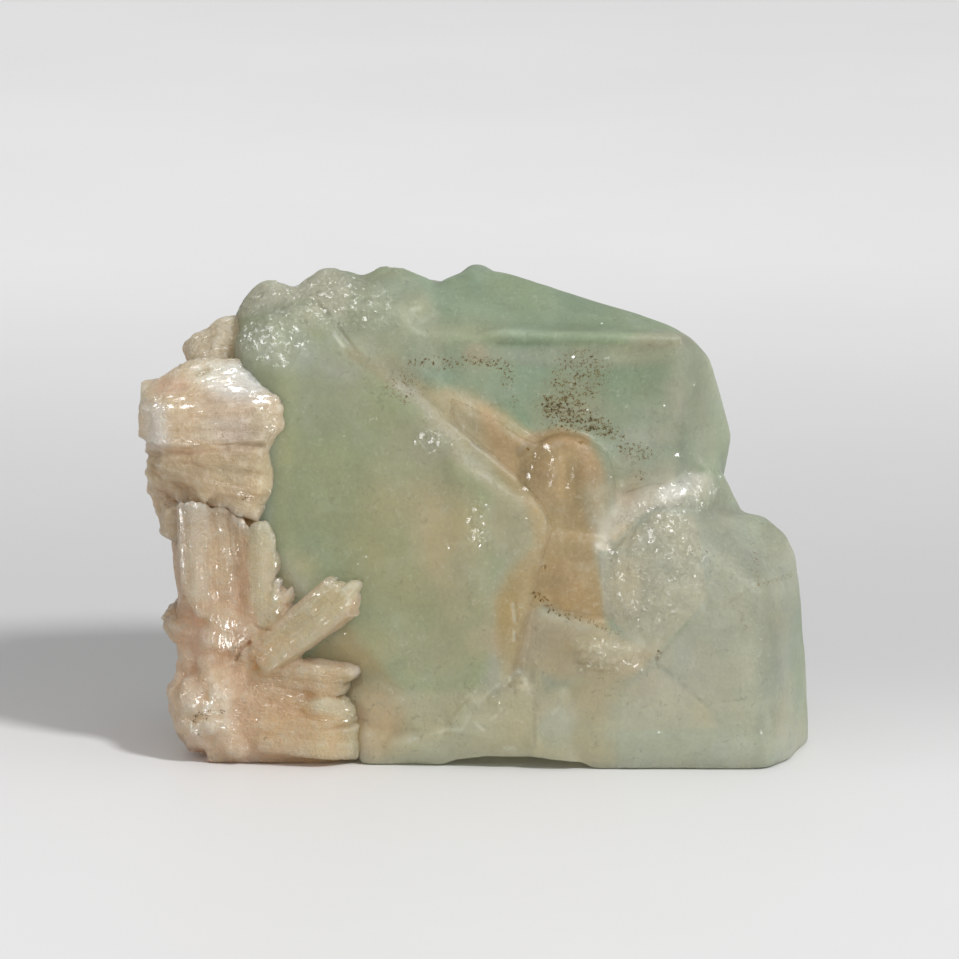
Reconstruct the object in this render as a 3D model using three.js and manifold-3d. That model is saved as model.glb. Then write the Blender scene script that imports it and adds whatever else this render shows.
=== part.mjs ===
// Apophyllite and stilbite cluster: a hand specimen of intergrown zeolite-family crystals.
// Millimetres, +Z up. Every point is [x, y, z]: x runs to the right, y runs back from the foremost
// face (0) and z runs up from the resting face (0). The finished group is then moved so that its
// origin lies at the middle of the resting face.
import * as THREE from 'three';
import { ConvexGeometry } from 'three/addons/geometries/ConvexGeometry.js';
import { mergeVertices } from 'three/addons/utils/BufferGeometryUtils.js';
import Module from 'manifold-3d';

const wasm = await Module();
wasm.setup();

const SEAM = 0.4; // gap where one mineral is cut back from the other
const CRUMB = 0.02; // edges shorter than this are merged after the booleans

// ---- Solids ------------------------------------------------------------------------------------
const vec = (p) => new THREE.Vector3(...p);

function solidOf(geometry) {
  geometry.deleteAttribute('normal');
  geometry.deleteAttribute('uv');
  const merged = mergeVertices(geometry, 1e-4);
  return new wasm.Manifold(new wasm.Mesh({
    numProp: 3,
    vertProperties: merged.attributes.position.array,
    triVerts: new Uint32Array(merged.index.array),
  }));
}

function geometryOf(solid) {
  const mesh = solid.getMesh();
  return new THREE.BufferGeometry()
    .setAttribute('position', new THREE.BufferAttribute(mesh.vertProperties, 3))
    .setIndex(new THREE.BufferAttribute(mesh.triVerts, 1));
}

// A crystal is the convex body through its corners, which gives it flat faces.
const crystal = (corners) => solidOf(new ConvexGeometry(corners.map(vec)));

const joined = (solids) => solids.reduce((all, one) => all.add(one));

// The same corners moved outwards by a gap along each axis, for cutting a neighbour back.
function grown(corners, gap) {
  const box = new THREE.Box3().setFromPoints(corners.map(vec));
  const middle = box.getCenter(new THREE.Vector3());
  const half = box.getSize(new THREE.Vector3()).multiplyScalar(0.5);
  return corners.map((p) => p.map((v, i) => {
    const m = middle.getComponent(i);
    return m + (v - m) * (1 + (1.5 * gap) / half.getComponent(i));
  }));
}

// The corners of a slab: its front face, and the same face set back by a depth and drawn in.
function slab(front, depth, draw = 0.85) {
  const middle = new THREE.Box3().setFromPoints(front.map(vec)).getCenter(new THREE.Vector3());
  const back = front.map(([x, y, z]) => [
    middle.x + (x - middle.x) * draw, y + depth, middle.z + (z - middle.z) * draw,
  ]);
  return [...front, ...back];
}

// The corners of a blocky four-sided crystal whose eight corners are cut off by small facets.
function cutCornerBlock({ centre, size: [a, b, c], lean: [tip, roll, turn], cut }) {
  const pose = new THREE.Matrix4().makeRotationFromEuler(new THREE.Euler(tip, roll, turn));
  pose.setPosition(vec(centre));
  const corners = [];
  for (const sx of [-1, 1]) {
    for (const sy of [-1, 1]) {
      for (const sz of [-1, 1]) {
        [[a - cut, b, c], [a, b - cut, c], [a, b, c - 1.4 * cut]].forEach(([x, y, z]) => corners.push(
          new THREE.Vector3(sx * x, sy * y, sz * z).applyMatrix4(pose).toArray(),
        ));
      }
    }
  }
  return corners;
}

// The corners of a bladed crystal: narrow at its root, widest near its tip, with a sloped end.
// facing is the way that its broad face looks.
function blade({ root, tip, width, thickness, facing = [0, -1, 0], waist = 0.55, end = 0.4 }) {
  const [a, b] = [vec(root), vec(tip)];
  const along = b.clone().sub(a).normalize();
  const side = new THREE.Vector3().crossVectors(along, vec(facing)).normalize();
  const face = new THREE.Vector3().crossVectors(side, along).normalize();
  const length = a.distanceTo(b);
  const shoulder = length - Math.min(0.25 * length, 0.45 * width);
  const rings = [[0, waist, waist], [shoulder, 1, 1], [length, end, 0.45]];
  return rings.flatMap(([s, w, t]) => [[-1, -0.5], [-0.7, -1], [0.7, -1], [1, -0.5],
    [1, 0.5], [0.7, 1], [-0.7, 1], [-1, 0.5]].map(([u, v]) => a.clone()
    .addScaledVector(along, s)
    .addScaledVector(side, (u * w * width) / 2)
    .addScaledVector(face, (v * t * thickness) / 2)
    .toArray()));
}

// Repeatable scatter, so that every build gives the same cluster.
function scatter(seed) {
  let state = seed;
  return (low, high) => {
    state = (state * 16807) % 2147483647;
    return low + ((high - low) * state) / 2147483647;
  };
}

// Near-parallel blades side by side: the habit that gives a stilbite prism its lengthwise ribs.
function bundle({ root, tip, width, thickness, facing = [0, -1, 0], strands, spread = 0.7 }, random) {
  const along = vec(tip).sub(vec(root)).normalize();
  const side = new THREE.Vector3().crossVectors(along, vec(facing)).normalize();
  const pitch = width / strands;
  return Array.from({ length: strands }, (_, i) => {
    const offset = (i - (strands - 1) / 2) * pitch;
    const shift = (point, by, on) => vec(point).addScaledVector(side, by).addScaledVector(along, on)
      .toArray();
    return blade({
      root: shift(root, offset * spread, 0),
      tip: shift(tip, offset, random(-0.1, 0.02) * width - 0.35 * Math.abs(offset)),
      width: pitch * 1.5,
      thickness: thickness * random(0.86, 1.04),
      facing,
      waist: 0.85,
      end: 0.6,
    });
  });
}

// Plates stacked from the top down and fanned about a hinge [x, z] that lies off their left ends.
// Each overlaps its neighbours; ends gives where each stops at the right, fronts how far forward.
function fannedPlates({ hinge: [hx, hz], slopes: [first, last], left, ends, fronts, back }) {
  const step = (last - first) / ends.length;
  return ends.map((end, i) => {
    const slopes = [first + step * (i - 0.08), first + step * (i + 1.08)];
    const length = end - left;
    const stations = [[left, 4.6], [left + 0.14 * length, 1.6], [left + 0.5 * length, 0],
      [end - 1.1, 0.5], [end, 1.7]];
    return stations.flatMap(([x, inset]) => slopes.flatMap((slope) => {
      const z = hz + (x - hx) * slope;
      return [[x, fronts[i] + inset, z], [x, back, z + 0.8]];
    }));
  });
}

// Blades spread like the spokes of a wheel over the left side: turns in half circles, upwards from
// straight back; outs gives how far left each tip stands.
function spokes({ hub: [x, y, z], reach: [back, up], width, thickness, turns, outs }) {
  return turns.map((turn, i) => blade({
    root: [x, y, z],
    tip: [outs[i], y + back * Math.cos(turn * Math.PI), z + up * Math.sin(turn * Math.PI)],
    width,
    thickness,
    facing: [-1, 0, 0],
    waist: 0.6,
    end: 0.5,
  }));
}

// A rough many-faced grain.
function grain([x, y, z], [rx, ry, rz], random) {
  const count = 14;
  return Array.from({ length: count }, (_, i) => {
    const up = 1 - (2 * (i + 0.5)) / count;
    const turn = i * 2.39996 + random(-0.3, 0.3);
    const r = Math.sqrt(1 - up * up);
    const size = random(0.86, 1.06);
    return [
      x + rx * size * r * Math.cos(turn), y + ry * size * r * Math.sin(turn), z + rz * size * up,
    ];
  });
}

// ---- Apophyllite: the green and grey blocks that make up most of the cluster ---------------------

// The large green crystal at the front, leaning back to its apex at upper left.
const FRONT_CRYSTAL = [
  [-17.6, 9, 48.9], [-21, 9.9, 48.3], [-23.4, 11, 47.2], [-24.9, 11.5, 45.4], [-25.5, 11, 44.4], // apex, shoulder
  [-23.2, 8.6, 44.2], [-18.4, 8.5, 46.8], [-24.6, 8.9, 42.4], // facets below the shoulder
  [-14, 8.2, 44.8], [-8, 6.6, 37.6], [-5, 6.1, 35.7], [3, 4.9, 30.3], [6.5, 4.5, 28], // ridge, down to the right
  [7.4, 4.2, 26.1], [6.8, 4, 24.5], [4.3, 3.2, 19.3], [3, 2.1, 11.5], [2.5, 1.6, 7], // right edge
  [-22.8, 6.8, 36], [-22.8, 5.7, 26], [-16, 3.7, 15.3], [-8.3, 2.3, 9.2], [-5, 1.7, 4], // left and lower edge
  [-6, 4.7, 27], [-2.2, 2.35, 12], // middle of the face, where two facets meet
  [-16, 7.5, 0], [0, 5, 0], [-24, 24, 43], [-24, 26, 4], [-10, 28, 45], [5, 24, 28], [3, 26, 0],
];
// A thin growth layer on its face, towards the right edge.
const FACE_LAYER = slab([
  [-2.6, 4.7, 33.4], [-1.6, 3.95, 26], [-0.9, 3.3, 21.5], [0.6, 2.4, 15], [2.2, 1.75, 9.4], [3.1, 2.2, 12],
  [4.4, 3.1, 19.2], [6.6, 3.85, 24.6], [7, 4.1, 26.2], [5.8, 4.3, 28], [2.4, 4.75, 30.2],
], 3);
// The crystal behind its ridge, with a bevelled top and a sliver along the ridge.
const MIDDLE_CRYSTAL = [
  [-17.5, 9.6, 48.4], [-14, 9.2, 49.2], [-8, 9.3, 48.6], [-4, 8.8, 44], [-3, 7.8, 39], [-3, 7, 33],
  [-12, 8.3, 40], [-16, 16, 51.5], [-14.3, 16, 51.6], [-13.2, 15.5, 50.2],
  [-18, 26, 47], [-5, 27, 47], [-4, 28, 28], [-18, 26, 30],
];
const RIDGE_SLIVER = slab([
  [-17.1, 8.8, 48.5], [-16.2, 8.7, 48.4], [-13, 8, 44.6], [-10.8, 7.4, 41.6], [-11.6, 7.3, 41.2], [-13.9, 7.9, 44.2],
], 3);
const TOP_HUMP = [
  [-13, 15, 50.2], [-10.2, 16, 51.5], [-8.7, 16.2, 51.85], [-7, 16, 51.4], [-4.4, 15, 50.4],
  [-12.5, 10, 48.8], [-5, 9.8, 48.4], [-12, 24, 47.8], [-5, 25, 47.6], [-9, 12, 44], [-8, 24, 42],
];
// The green crystal at the back and upper right. Its upper face leans back from a ledge.
const REAR_CRYSTAL = [
  [-6, 9.2, 46], [0.5, 8.8, 45.3], [14, 8.6, 44.8], [21.8, 9.3, 44.4], // ledge
  [-4, 8.2, 30], [8, 8, 24], [23.6, 9, 31], [22, 8.8, 27], // foot of the front face
  [25, 13, 42.8], [26.2, 14, 38.5], [27.6, 14.6, 33.6], [26.4, 14.4, 30.4], // right side
  [-3, 15.6, 50.5], [-1.2, 16.6, 51], [0.1, 17, 51.3], [3.5, 17, 50.8], [6, 16.4, 49.8], // top edge
  [12, 15.6, 48.3], [17, 14.8, 47], [21, 14, 45.8], [23.4, 13.6, 44.6],
  [-6, 28, 46.6], [3, 31, 46.6], [19.6, 30, 41.4], [25.4, 24, 35.6], [26.4, 26, 30.6], [25.6, 28, 23],
  [25, 31, 14], [-4, 31, 12],
];
const LEDGE = slab([
  [0.6, 8.5, 45.9], [3.2, 8.2, 46.5], [12, 8, 46.1], [20.4, 8.4, 45.7], [22.8, 9.3, 45.6],
  [22, 8.9, 44.9], [19, 8.2, 44.7], [12, 7.9, 45], [3, 8.1, 45.3],
], 3);
const TOP_KNOB = slab([
  [-1.6, 15.8, 50.4], [-0.4, 15.9, 51.5], [1, 16, 51.4], [2.2, 16, 50.7], [0.8, 14.6, 49.6],
], 4);
// The rough neck where the rear crystal runs into the clear block.
const NECK = [
  [20.6, 8.9, 33], [25.8, 13, 31.4], [26.3, 13, 29.4], [27.2, 13, 27.6], [28.6, 13.6, 25.8], [22.8, 8, 27.4], [20.5, 9, 26],
  [15, 10.5, 30], [25.6, 24, 27], [16, 24, 30], [26, 24, 20], [15, 24, 20],
];
const NECK_CHIPS = [
  slab([[23.4, 7.6, 29.8], [25.2, 9.4, 30.2], [26.2, 11, 28.6], [25.2, 9, 26.6], [23.4, 7.4, 26.8]], 4),
  slab([[24.2, 8.8, 32.2], [26.2, 12, 31.6], [26.2, 12, 29.8], [24.8, 9.2, 29.8]], 3),
];
// The clear grey-green block at lower right: large flat facets around a ridge, over a bevelled foot.
const CLEAR_BLOCK = [
  [15.5, 1.9, 0], [31.5, 1.6, 0], [15.6, 0.7, 3.9], [26.1, 0.1, 4.4], [31.2, 0, 4.3], // bevel along the foot
  [34, 6, 0], [36, 13, 0], [36, 13, 0.9], [35.6, 12, 8], [34.8, 10, 18.8], [34.4, 11, 21.4], [33.2, 12, 23.6], // right
  [31.2, 13, 25.2], [28.4, 13.6, 25.4], // shoulder
  [24.7, 2.4, 18], [30.6, 3.2, 19.2], [25.3, 1.6, 16.2], // ridge between the large facets
  [19.8, 0.9, 11.4], [24.8, 0.3, 7],
  [14.4, 4, 22.6], [15.3, 4.2, 23.6], [19.2, 5.4, 26.8], [23.6, 7, 26.4], // upper left edge
  [36, 27, 0], [34.4, 28, 18], [27, 29, 21], [14, 29, 0], [14, 28, 22],
];
// The block between it and the front crystal, with a crinkled step across it.
const LOWER_BLOCK = [
  [6.5, 1.9, 9], [6.9, 2.7, 16.6], [9.6, 2.7, 15.6], [13, 2.5, 14.6], [19.4, 1.5, 14.2], // top edge
  [11.4, 1.5, 9.8], [17, 1.2, 9.9], [15.4, 0.8, 4], [6.6, 1.3, 4],
  [6.5, 1.9, 0], [16.4, 2, 0], [6, 20, 0], [20, 20, 0], [8, 18, 17], [18, 18, 17],
];
const CRINKLES = [
  slab([[10.4, 1.6, 13.9], [13.4, 1, 14.2], [17.4, 0.9, 13.4], [16.2, 0.9, 12.2], [11.4, 1.2, 12.4]], 3),
  slab([[11.6, 1.3, 12.6], [14.6, 0.8, 12.6], [17.6, 0.8, 11.8], [15.4, 0.9, 10.8], [12.2, 1.2, 11.2]], 3),
];
const FOOT_CRYSTALS = [
  // a small pyramid standing against the front crystal
  [[4.9, 1.5, 9.6], [6.1, 1.6, 8.8], [6.7, 1.1, 4.3], [6.6, 2.4, 0], [-2.6, 1.1, 4.6], [-3.2, 3.6, 0],
    [1, 0.8, 3.9], [3.4, 0.9, 5.6], [4.5, 9, 9], [-3, 9, 4], [-3, 9, 0], [7, 9, 0]],
  [[-9.2, 2.2, 3], [-5, 1.7, 4.1], [-2.4, 1.4, 4.7], [-2, 3.4, 0], [-9.4, 4.2, 0], [-5.6, 1.9, 2.2],
    [-9.4, 10, 3.6], [-2, 10, 5], [-2, 10, 0], [-9.4, 10, 0]],
  [[6, 1.5, 7.6], [9.4, 1.1, 8.9], [11.4, 1.3, 6.2], [10.8, 1.3, 0], [6, 1.3, 0], [6.2, 0.9, 3.6],
    [9, 0.6, 4.2], [6, 9, 8], [11, 9, 8], [6, 9, 0], [11, 9, 0]],
  // a sliver that crosses the foot of the front crystal
  slab([[-2.4, 1.2, 4.6], [-2.6, 1.2, 5.4], [-0.2, 1.2, 8], [0.6, 1.3, 7.6], [-1.8, 1.1, 4.4]], 2),
];
// Grey lumps along the top left.
const TOP_LUMPS = [
  [[-25.3, 15, 46.8], [-24.6, 14, 48.4], [-23.8, 14, 49.6], [-22.6, 14, 50.4], [-21.2, 14, 50.6],
    [-19.6, 13.5, 49.9], [-24.4, 11, 46], [-19, 10.5, 48], [-25, 22, 44], [-19.4, 23, 47], [-22, 22, 47.8],
    [-24, 12, 40], [-20, 12, 40], [-24, 22, 40], [-20, 22, 40]],
  [[-19.8, 14, 49.6], [-18, 14.5, 50.7], [-16.5, 15.5, 51.6], [-15.4, 16, 51.8], [-14.3, 16, 51.4],
    [-13.2, 15.5, 50], [-18.6, 10.5, 48.2], [-14, 10, 48.6], [-19, 24, 46.8], [-14, 24, 47.8],
    [-18, 14, 40], [-14, 14, 40], [-18, 24, 40], [-14, 24, 40]],
];
// Blocky crystals that close the back and the right side.
const BACK_BLOCKS = [
  { centre: [-13.5, 25.5, 34.4], size: [7.6, 7, 10], lean: [0.1, 0.08, 0.3], cut: 2.6 },
  { centre: [-16, 25, 17.5], size: [7.4, 7.6, 11], lean: [-0.06, 0.2, -0.22], cut: 2.4 },
  { centre: [0.5, 27.5, 31.6], size: [9, 7.4, 13], lean: [0.12, -0.1, -0.12], cut: 3.2 },
  { centre: [-2, 28.5, 11], size: [9.5, 8.6, 13], lean: [-0.1, 0.14, 0.2], cut: 3 },
  { centre: [14, 26, 27.4], size: [7.4, 7.6, 11], lean: [0.06, 0.1, 0.32], cut: 2.8 },
  { centre: [14.5, 29, 12], size: [8.6, 7, 11.5], lean: [0.14, -0.16, -0.26], cut: 3 },
  { centre: [26.5, 25, 8.5], size: [6.6, 7, 9], lean: [0.08, 0.1, 0.16], cut: 2.2 },
  { centre: [19.6, 24, 22], size: [4.4, 6, 6], lean: [0.2, 0.12, -0.4], cut: 1.6 },
  { centre: [5.4, 33.5, 22], size: [4.4, 3.8, 5.4], lean: [0.24, 0.3, 0.5], cut: 1.4 },
  { centre: [-8.5, 32, 24.5], size: [4.6, 4, 4.6], lean: [0.3, -0.28, -0.34], cut: 1.4 },
  { centre: [-5.6, 24, 43.2], size: [4.6, 5.6, 3.6], lean: [0.16, 0.1, 0.5], cut: 1.2 },
  { centre: [30.6, 20.5, 12], size: [2.8, 5, 5.6], lean: [-0.05, 0.04, 0.3], cut: 1.1 },
];

const apophylliteParts = [FRONT_CRYSTAL, FACE_LAYER, MIDDLE_CRYSTAL, RIDGE_SLIVER, TOP_HUMP, REAR_CRYSTAL,
  LEDGE, TOP_KNOB, NECK, ...NECK_CHIPS, CLEAR_BLOCK, LOWER_BLOCK, ...CRINKLES, ...FOOT_CRYSTALS,
  ...TOP_LUMPS, ...BACK_BLOCKS.map(cutCornerBlock)];

// ---- Stilbite: peach blades in sheaves -----------------------------------------------------------
const random = scatter(11);

// The sheaf at upper left: flat plates fanned towards the right, under a broad pearly face.
const UPPER_PLATES = {
  hinge: [-52, 36.4], slopes: [0.1, -0.085], left: -35.7, back: 18,
  ends: [-20.9, -20.3, -20.7, -20.2, -21, -21.4, -22], fronts: [3.9, 3.5, 3.1, 3.3, 2.8, 3.2, 3],
};
const LOWER_PLATES = {
  hinge: [-38.5, 33.9], slopes: [0.03, -0.39], left: -34.8, back: 18,
  ends: [-22.4, -21.9, -21.4, -21.5, -22, -22.8], fronts: [3.3, 2.9, 3.2, 2.7, 3.1, 3.5],
};
const SHEAF_CROWN = [
  [-35.5, 7, 37.6], [-33, 4.4, 38.2], [-27, 3.6, 38.6], [-21, 4, 38.2], // where it meets the plates
  [-35, 8, 39.9], [-34.2, 8.4, 40.8], [-32.5, 8.2, 41.1], [-30.6, 8.8, 42.7], [-29.4, 9, 43], // top edge
  [-25.5, 8.6, 43], [-23.8, 7.4, 41.8], [-22.1, 6, 40.1], [-20.5, 5, 38.7],
  [-32, 18, 38.4], [-25, 18, 41.4], [-24, 18, 34], [-32, 18, 34],
];
const SHEAF_LUMPS = [
  // the brown lump above the sheaf
  [[-30.6, 15, 42], [-31, 14.5, 43.4], [-30.8, 14, 43.9], [-29.8, 14, 44.7], [-28.4, 14, 45.2], [-27.6, 14, 46.1],
    [-26.3, 14, 46.8], [-25.6, 14, 46.8], [-25, 12, 41], [-29, 9.6, 41], [-30, 22, 41], [-25, 22, 45], [-28, 24, 41]],
  // the flank below the plates
  [[-34.8, 8, 31], [-34, 8, 26.8], [-33.4, 8.4, 24.9], [-32.4, 8.6, 24.2], [-31, 5.4, 28.8], [-28.6, 4.6, 29.8],
    [-24, 5, 29], [-24, 8, 25], [-34.4, 10, 34], [-24, 8, 36], [-31, 22, 34], [-30, 22, 25], [-24, 26, 26],
    [-24, 26, 38], [-33, 12, 38.2]],
];
// Its blades on the left side, spread upwards and back from a hub.
const SHEAF_SPOKES = {
  hub: [-27, 17, 27], reach: [12, 12], width: 6, thickness: 6,
  turns: [0.04, 0.2, 0.36, 0.52, 0.68, 0.86, 1.03], outs: [-29.6, -30.6, -31.8, -32.6, -33.2, -33.4, -31.6],
};
const sheafParts = [...fannedPlates(UPPER_PLATES), ...fannedPlates(LOWER_PLATES), SHEAF_CROWN, ...SHEAF_LUMPS,
  ...spokes(SHEAF_SPOKES)];

// The rosette at lower left: blades spread from one centre, over a granular foot.
const ROSETTE_SLABS = [
  // broad upright blade at the left
  slab([[-31.5, 3.8, 28.7], [-30, 3.1, 28.9], [-28.5, 3.4, 28.7], [-27.9, 3.9, 24], [-28.4, 4.2, 17], [-29.3, 4.4, 15.6],
    [-31.3, 4.8, 19.4]], 5),
  slab([[-28.6, 4.4, 28.2], [-26.8, 4, 28.2], [-25.6, 4.6, 27.6], [-24.4, 4.8, 21], [-23.9, 4.6, 14], [-26, 4.2, 12.6],
    [-28.6, 4.6, 16]], 6),
  slab([[-25.7, 3.8, 27.4], [-24.5, 3.5, 27.2], [-24.4, 3.9, 24.5], [-25, 4.1, 23.2]], 3),
  // pale upright blade beside the green crystal
  slab([[-24, 3.9, 26.2], [-22.9, 3.4, 26.8], [-21.9, 3.6, 26.5], [-21.3, 3.9, 24.8], [-21.1, 4.1, 18.9],
    [-21.2, 4.2, 16.6], [-21.9, 4.2, 15.1], [-22.9, 4.1, 14.5], [-23.8, 4.2, 14.9], [-24.3, 4.2, 16.2],
    [-25.1, 4.2, 21], [-24.8, 4.1, 23.2], [-22.7, 3.1, 21]], 4),
  // pale rounded blade in the low spray, and the small block beyond it
  slab([[-18.5, 2.4, 6.8], [-16.8, 1.7, 7.6], [-13.6, 1.2, 7.2], [-12.9, 1.3, 6.1], [-12.9, 1.4, 4.8],
    [-13.8, 1.5, 4.4], [-15.7, 1.8, 5.2], [-17.8, 2.3, 5.9]], 3),
  slab([[-11.9, 2, 8.6], [-10.2, 1.7, 8.8], [-9.5, 1.9, 8], [-9.8, 2, 7], [-11.6, 2, 6.9]], 4),
  // the mass under the spray
  slab([[-26, 4.4, 11], [-20, 3.4, 9.6], [-12, 2.5, 6.9], [-9.4, 2.6, 3.6], [-9.2, 4.2, 0], [-28.6, 4.6, 0],
    [-17, 2.2, 3.4], [-23, 2.8, 4.4], [-27.8, 3.8, 2.4]], 9, 1),
  slab([[-30.2, 6.6, 24], [-28, 5.8, 26], [-22.4, 6.2, 24], [-21.8, 6, 14], [-24, 5.4, 9], [-29.6, 6, 12],
    [-30.6, 7, 16]], 12, 0.9),
];
const ROSETTE_BUNDLES = [
  // the ribbed prism that stands out over the green crystal
  { root: [-22.6, 4.2, 11.4], tip: [-12.4, 1.2, 20.3], width: 4.5, thickness: 3.6, facing: [-0.3, -1, 0.2], strands: 5 },
  { root: [-22.4, 4.8, 10.2], tip: [-11.6, 2.4, 9.2], width: 3, thickness: 2.8, strands: 3, spread: 0.5 },
  { root: [-24.6, 4.8, 14], tip: [-20, 4.6, 19.6], width: 2.6, thickness: 2.2, strands: 2 },
  { root: [-23, 3.8, 3.6], tip: [-10, 2.4, 2.8], width: 4.2, thickness: 2.6, strands: 3 },
];
const ROSETTE_BLADES = [
  { root: [-30, 9, 15], tip: [-31.1, 8.6, 24.6], width: 2.4, thickness: 4, waist: 1 },
  { root: [-26, 9, 12], tip: [-33, 9.4, 14.6], width: 3.4, thickness: 4, waist: 0.8 },
];
const ROSETTE_SPOKES = {
  hub: [-26, 17, 15], reach: [11.5, 12], width: 6, thickness: 6,
  turns: [0.1, -0.06, -0.22, -0.38, -0.54, -0.7, -0.86, 0.9], outs: [-28.6, -29.4, -29.8, -30, -30.2, -30, -29.8, -29.6],
};
const ROSETTE_LUMPS = [
  [[-28.6, 8, 6.6], [4, 5.6, 5.2]], [[-29, 9, 3.2], [3.2, 5.6, 3.6]], [[-25.6, 6.6, 3], [4, 4.4, 3.6]],
  [[-26.4, 6.8, 9.4], [3.4, 3.6, 3.4]], [[-27.2, 6.6, 13.4], [3.2, 2.8, 2.8]], [[-24.6, 5.4, 12.2], [1.9, 1.9, 1.9]],
  [[-30.6, 10, 14.6], [2.6, 5, 2.4]], [[-26, 17, 7], [6, 8, 7]], [[-24, 14, 4], [7, 8, 4.6]],
  [[-12.6, 9, 3.4], [4.4, 6, 3.8]],
];
const rosetteParts = [...ROSETTE_SLABS, ...ROSETTE_BUNDLES.flatMap((spec) => bundle(spec, random)),
  ...ROSETTE_BLADES.map(blade), ...spokes(ROSETTE_SPOKES), ...ROSETTE_LUMPS.map(([centre, radii]) => grain(centre, radii, random))];

// Small grains over the foot of the rosette.
const GRAINS = 38;
for (let i = 0; i < GRAINS; i += 1) {
  const turn = random(0.8, 1.75) * Math.PI;
  const up = random(-0.8, 0.85);
  const out = Math.sqrt(1 - up * up);
  const size = random(0.7, 1.35);
  rosetteParts.push(grain([
    -27.8 + 4.2 * out * Math.cos(turn), 8.4 + 5.6 * out * Math.sin(turn), 6.2 + 5.4 * up,
  ], [size, size, size], random));
}

// The stilbite between the green crystals and the clear block.
const CENTRE_SLABS = [
  // domed head, in two lobes
  slab([[4.3, 6.8, 30.2], [5.2, 6.8, 32.4], [6.5, 6.6, 33.8], [7.8, 6.4, 34.8], [9.3, 6.4, 35.2], [11, 6.6, 35],
    [10.6, 6, 25], [7.4, 5, 25], [8.2, 4.9, 31.6], [9.4, 5.2, 26.4]], 5, 1),
  slab([[8.6, 6.7, 34.9], [9.8, 6.2, 35.1], [11, 6.3, 35], [12.6, 6.5, 34.2], [14.1, 6.8, 33], [14.7, 6.8, 31.6],
    [15.1, 6.6, 28.4], [14, 5.6, 24.6], [9.4, 5.2, 25.4], [11.6, 4.9, 31]], 5, 1),
  // block below it
  slab([[7.6, 4.6, 25], [5.5, 4, 22.3], [5.1, 3.8, 20.6], [4.6, 3.5, 18.2], [6.9, 3.3, 17.2], [9.3, 3.2, 15.8],
    [12.9, 3.1, 14.7], [14.4, 3.4, 17.4], [13.6, 3.7, 20.6], [13.6, 4.4, 24.2], [9.8, 3.1, 20.4]], 4, 1),
  // tail running down beside the front crystal
  slab([[5.6, 3.8, 20.6], [3.4, 3.6, 18.2], [2.6, 3.2, 15.6], [3.4, 2.6, 10], [5.4, 2.4, 10], [6.4, 2.8, 16.4]], 4, 1),
  // band that follows the ridge of the front crystal up to the left
  slab([[-5.4, 7.7, 39.2], [-2, 7.5, 39], [2.9, 7.3, 36.6], [6.2, 6.9, 34.4], [6, 6.6, 30.4], [1, 6.6, 31.6],
    [-4, 7.2, 36]], 3, 1),
];
// The pearly plate above the clear block, tilted to face up and forward.
const PEARLY_PLATE = slab([
  [12.9, 5.1, 23.2], [14.9, 4.7, 22.7], [15.4, 5, 23.6], [17.4, 5.6, 25.6], [19.6, 6.2, 27], [22.4, 6.8, 28],
  [23.6, 7.4, 29.4], [22, 7.7, 30.2], [18.6, 7.6, 29.8], [14.8, 7.2, 28.6],
], 3, 1);
const centreParts = [...CENTRE_SLABS, PEARLY_PLATE];

// ---- Assembly ------------------------------------------------------------------------------------
const aboveTable = solidOf(new THREE.BoxGeometry(200, 200, 200).translate(0, 0, 100));
// the hollow under the foot, where the cluster stands clear of the table
const arch = crystal([[-8, -5, -1], [-4, -5, 0.8], [2.8, -5, 1.9], [5, -5, 1.9], [9.2, -5, 1.45], [14, -5, 0.95],
  [15, -5, -1], [-4, 12, -1], [0, 12, 0.8], [8, 12, 0.8], [12, 12, -1]]);

const largest = (solid) => solid.decompose().sort((a, b) => b.volume() - a.volume())[0];
const stand = (solid) => largest(solid.intersect(aboveTable).simplify(CRUMB));
const cutter = (parts) => joined(parts.map((corners) => crystal(grown(corners, SEAM))));

const apophyllite = stand(joined(apophylliteParts.map(crystal)).subtract(arch));
const apophylliteCutter = cutter(apophylliteParts);
const rosette = stand(joined(rosetteParts.map(crystal)).subtract(apophylliteCutter));
const sheaf = stand(joined(sheafParts.map(crystal)).subtract(apophylliteCutter).subtract(cutter(rosetteParts)));
const centre = stand(joined(centreParts.map(crystal)).subtract(apophylliteCutter));

const GREEN = new THREE.MeshStandardMaterial({ color: 0xa3ad94, roughness: 0.35, metalness: 0 });
const PEACH = new THREE.MeshStandardMaterial({ color: 0xc8a789, roughness: 0.4, metalness: 0 });
const AMBER = new THREE.MeshStandardMaterial({ color: 0xb8946c, roughness: 0.45, metalness: 0 });

const cluster = new THREE.Group();
function place(name, solid, material) {
  const mesh = new THREE.Mesh(geometryOf(solid), material);
  mesh.name = name;
  cluster.add(mesh);
}
place('apophyllite_crystals', apophyllite, GREEN);
place('stilbite_sheaf', sheaf, PEACH);
place('stilbite_rosette', rosette, PEACH);
place('stilbite_centre', centre, AMBER);

const box = new THREE.Box3().setFromObject(cluster);
const middle = box.getCenter(new THREE.Vector3());
cluster.position.set(-middle.x, -middle.y, -box.min.z);

export default cluster;
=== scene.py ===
"""Looks for the apophyllite and stilbite cluster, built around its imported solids.

Each solid is remeshed finely, given its natural relief and tinted zone by zone; the materials add
what is finer still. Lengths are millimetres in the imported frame. Places named in pixels are
(right, down) pixels of the 959 x 959 photograph, found on the mesh by projecting it as that camera saw it.
"""
import math

import bmesh
import bpy
import numpy as np
from mathutils import Matrix, Vector
from mathutils.bvhtree import BVHTree


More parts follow.
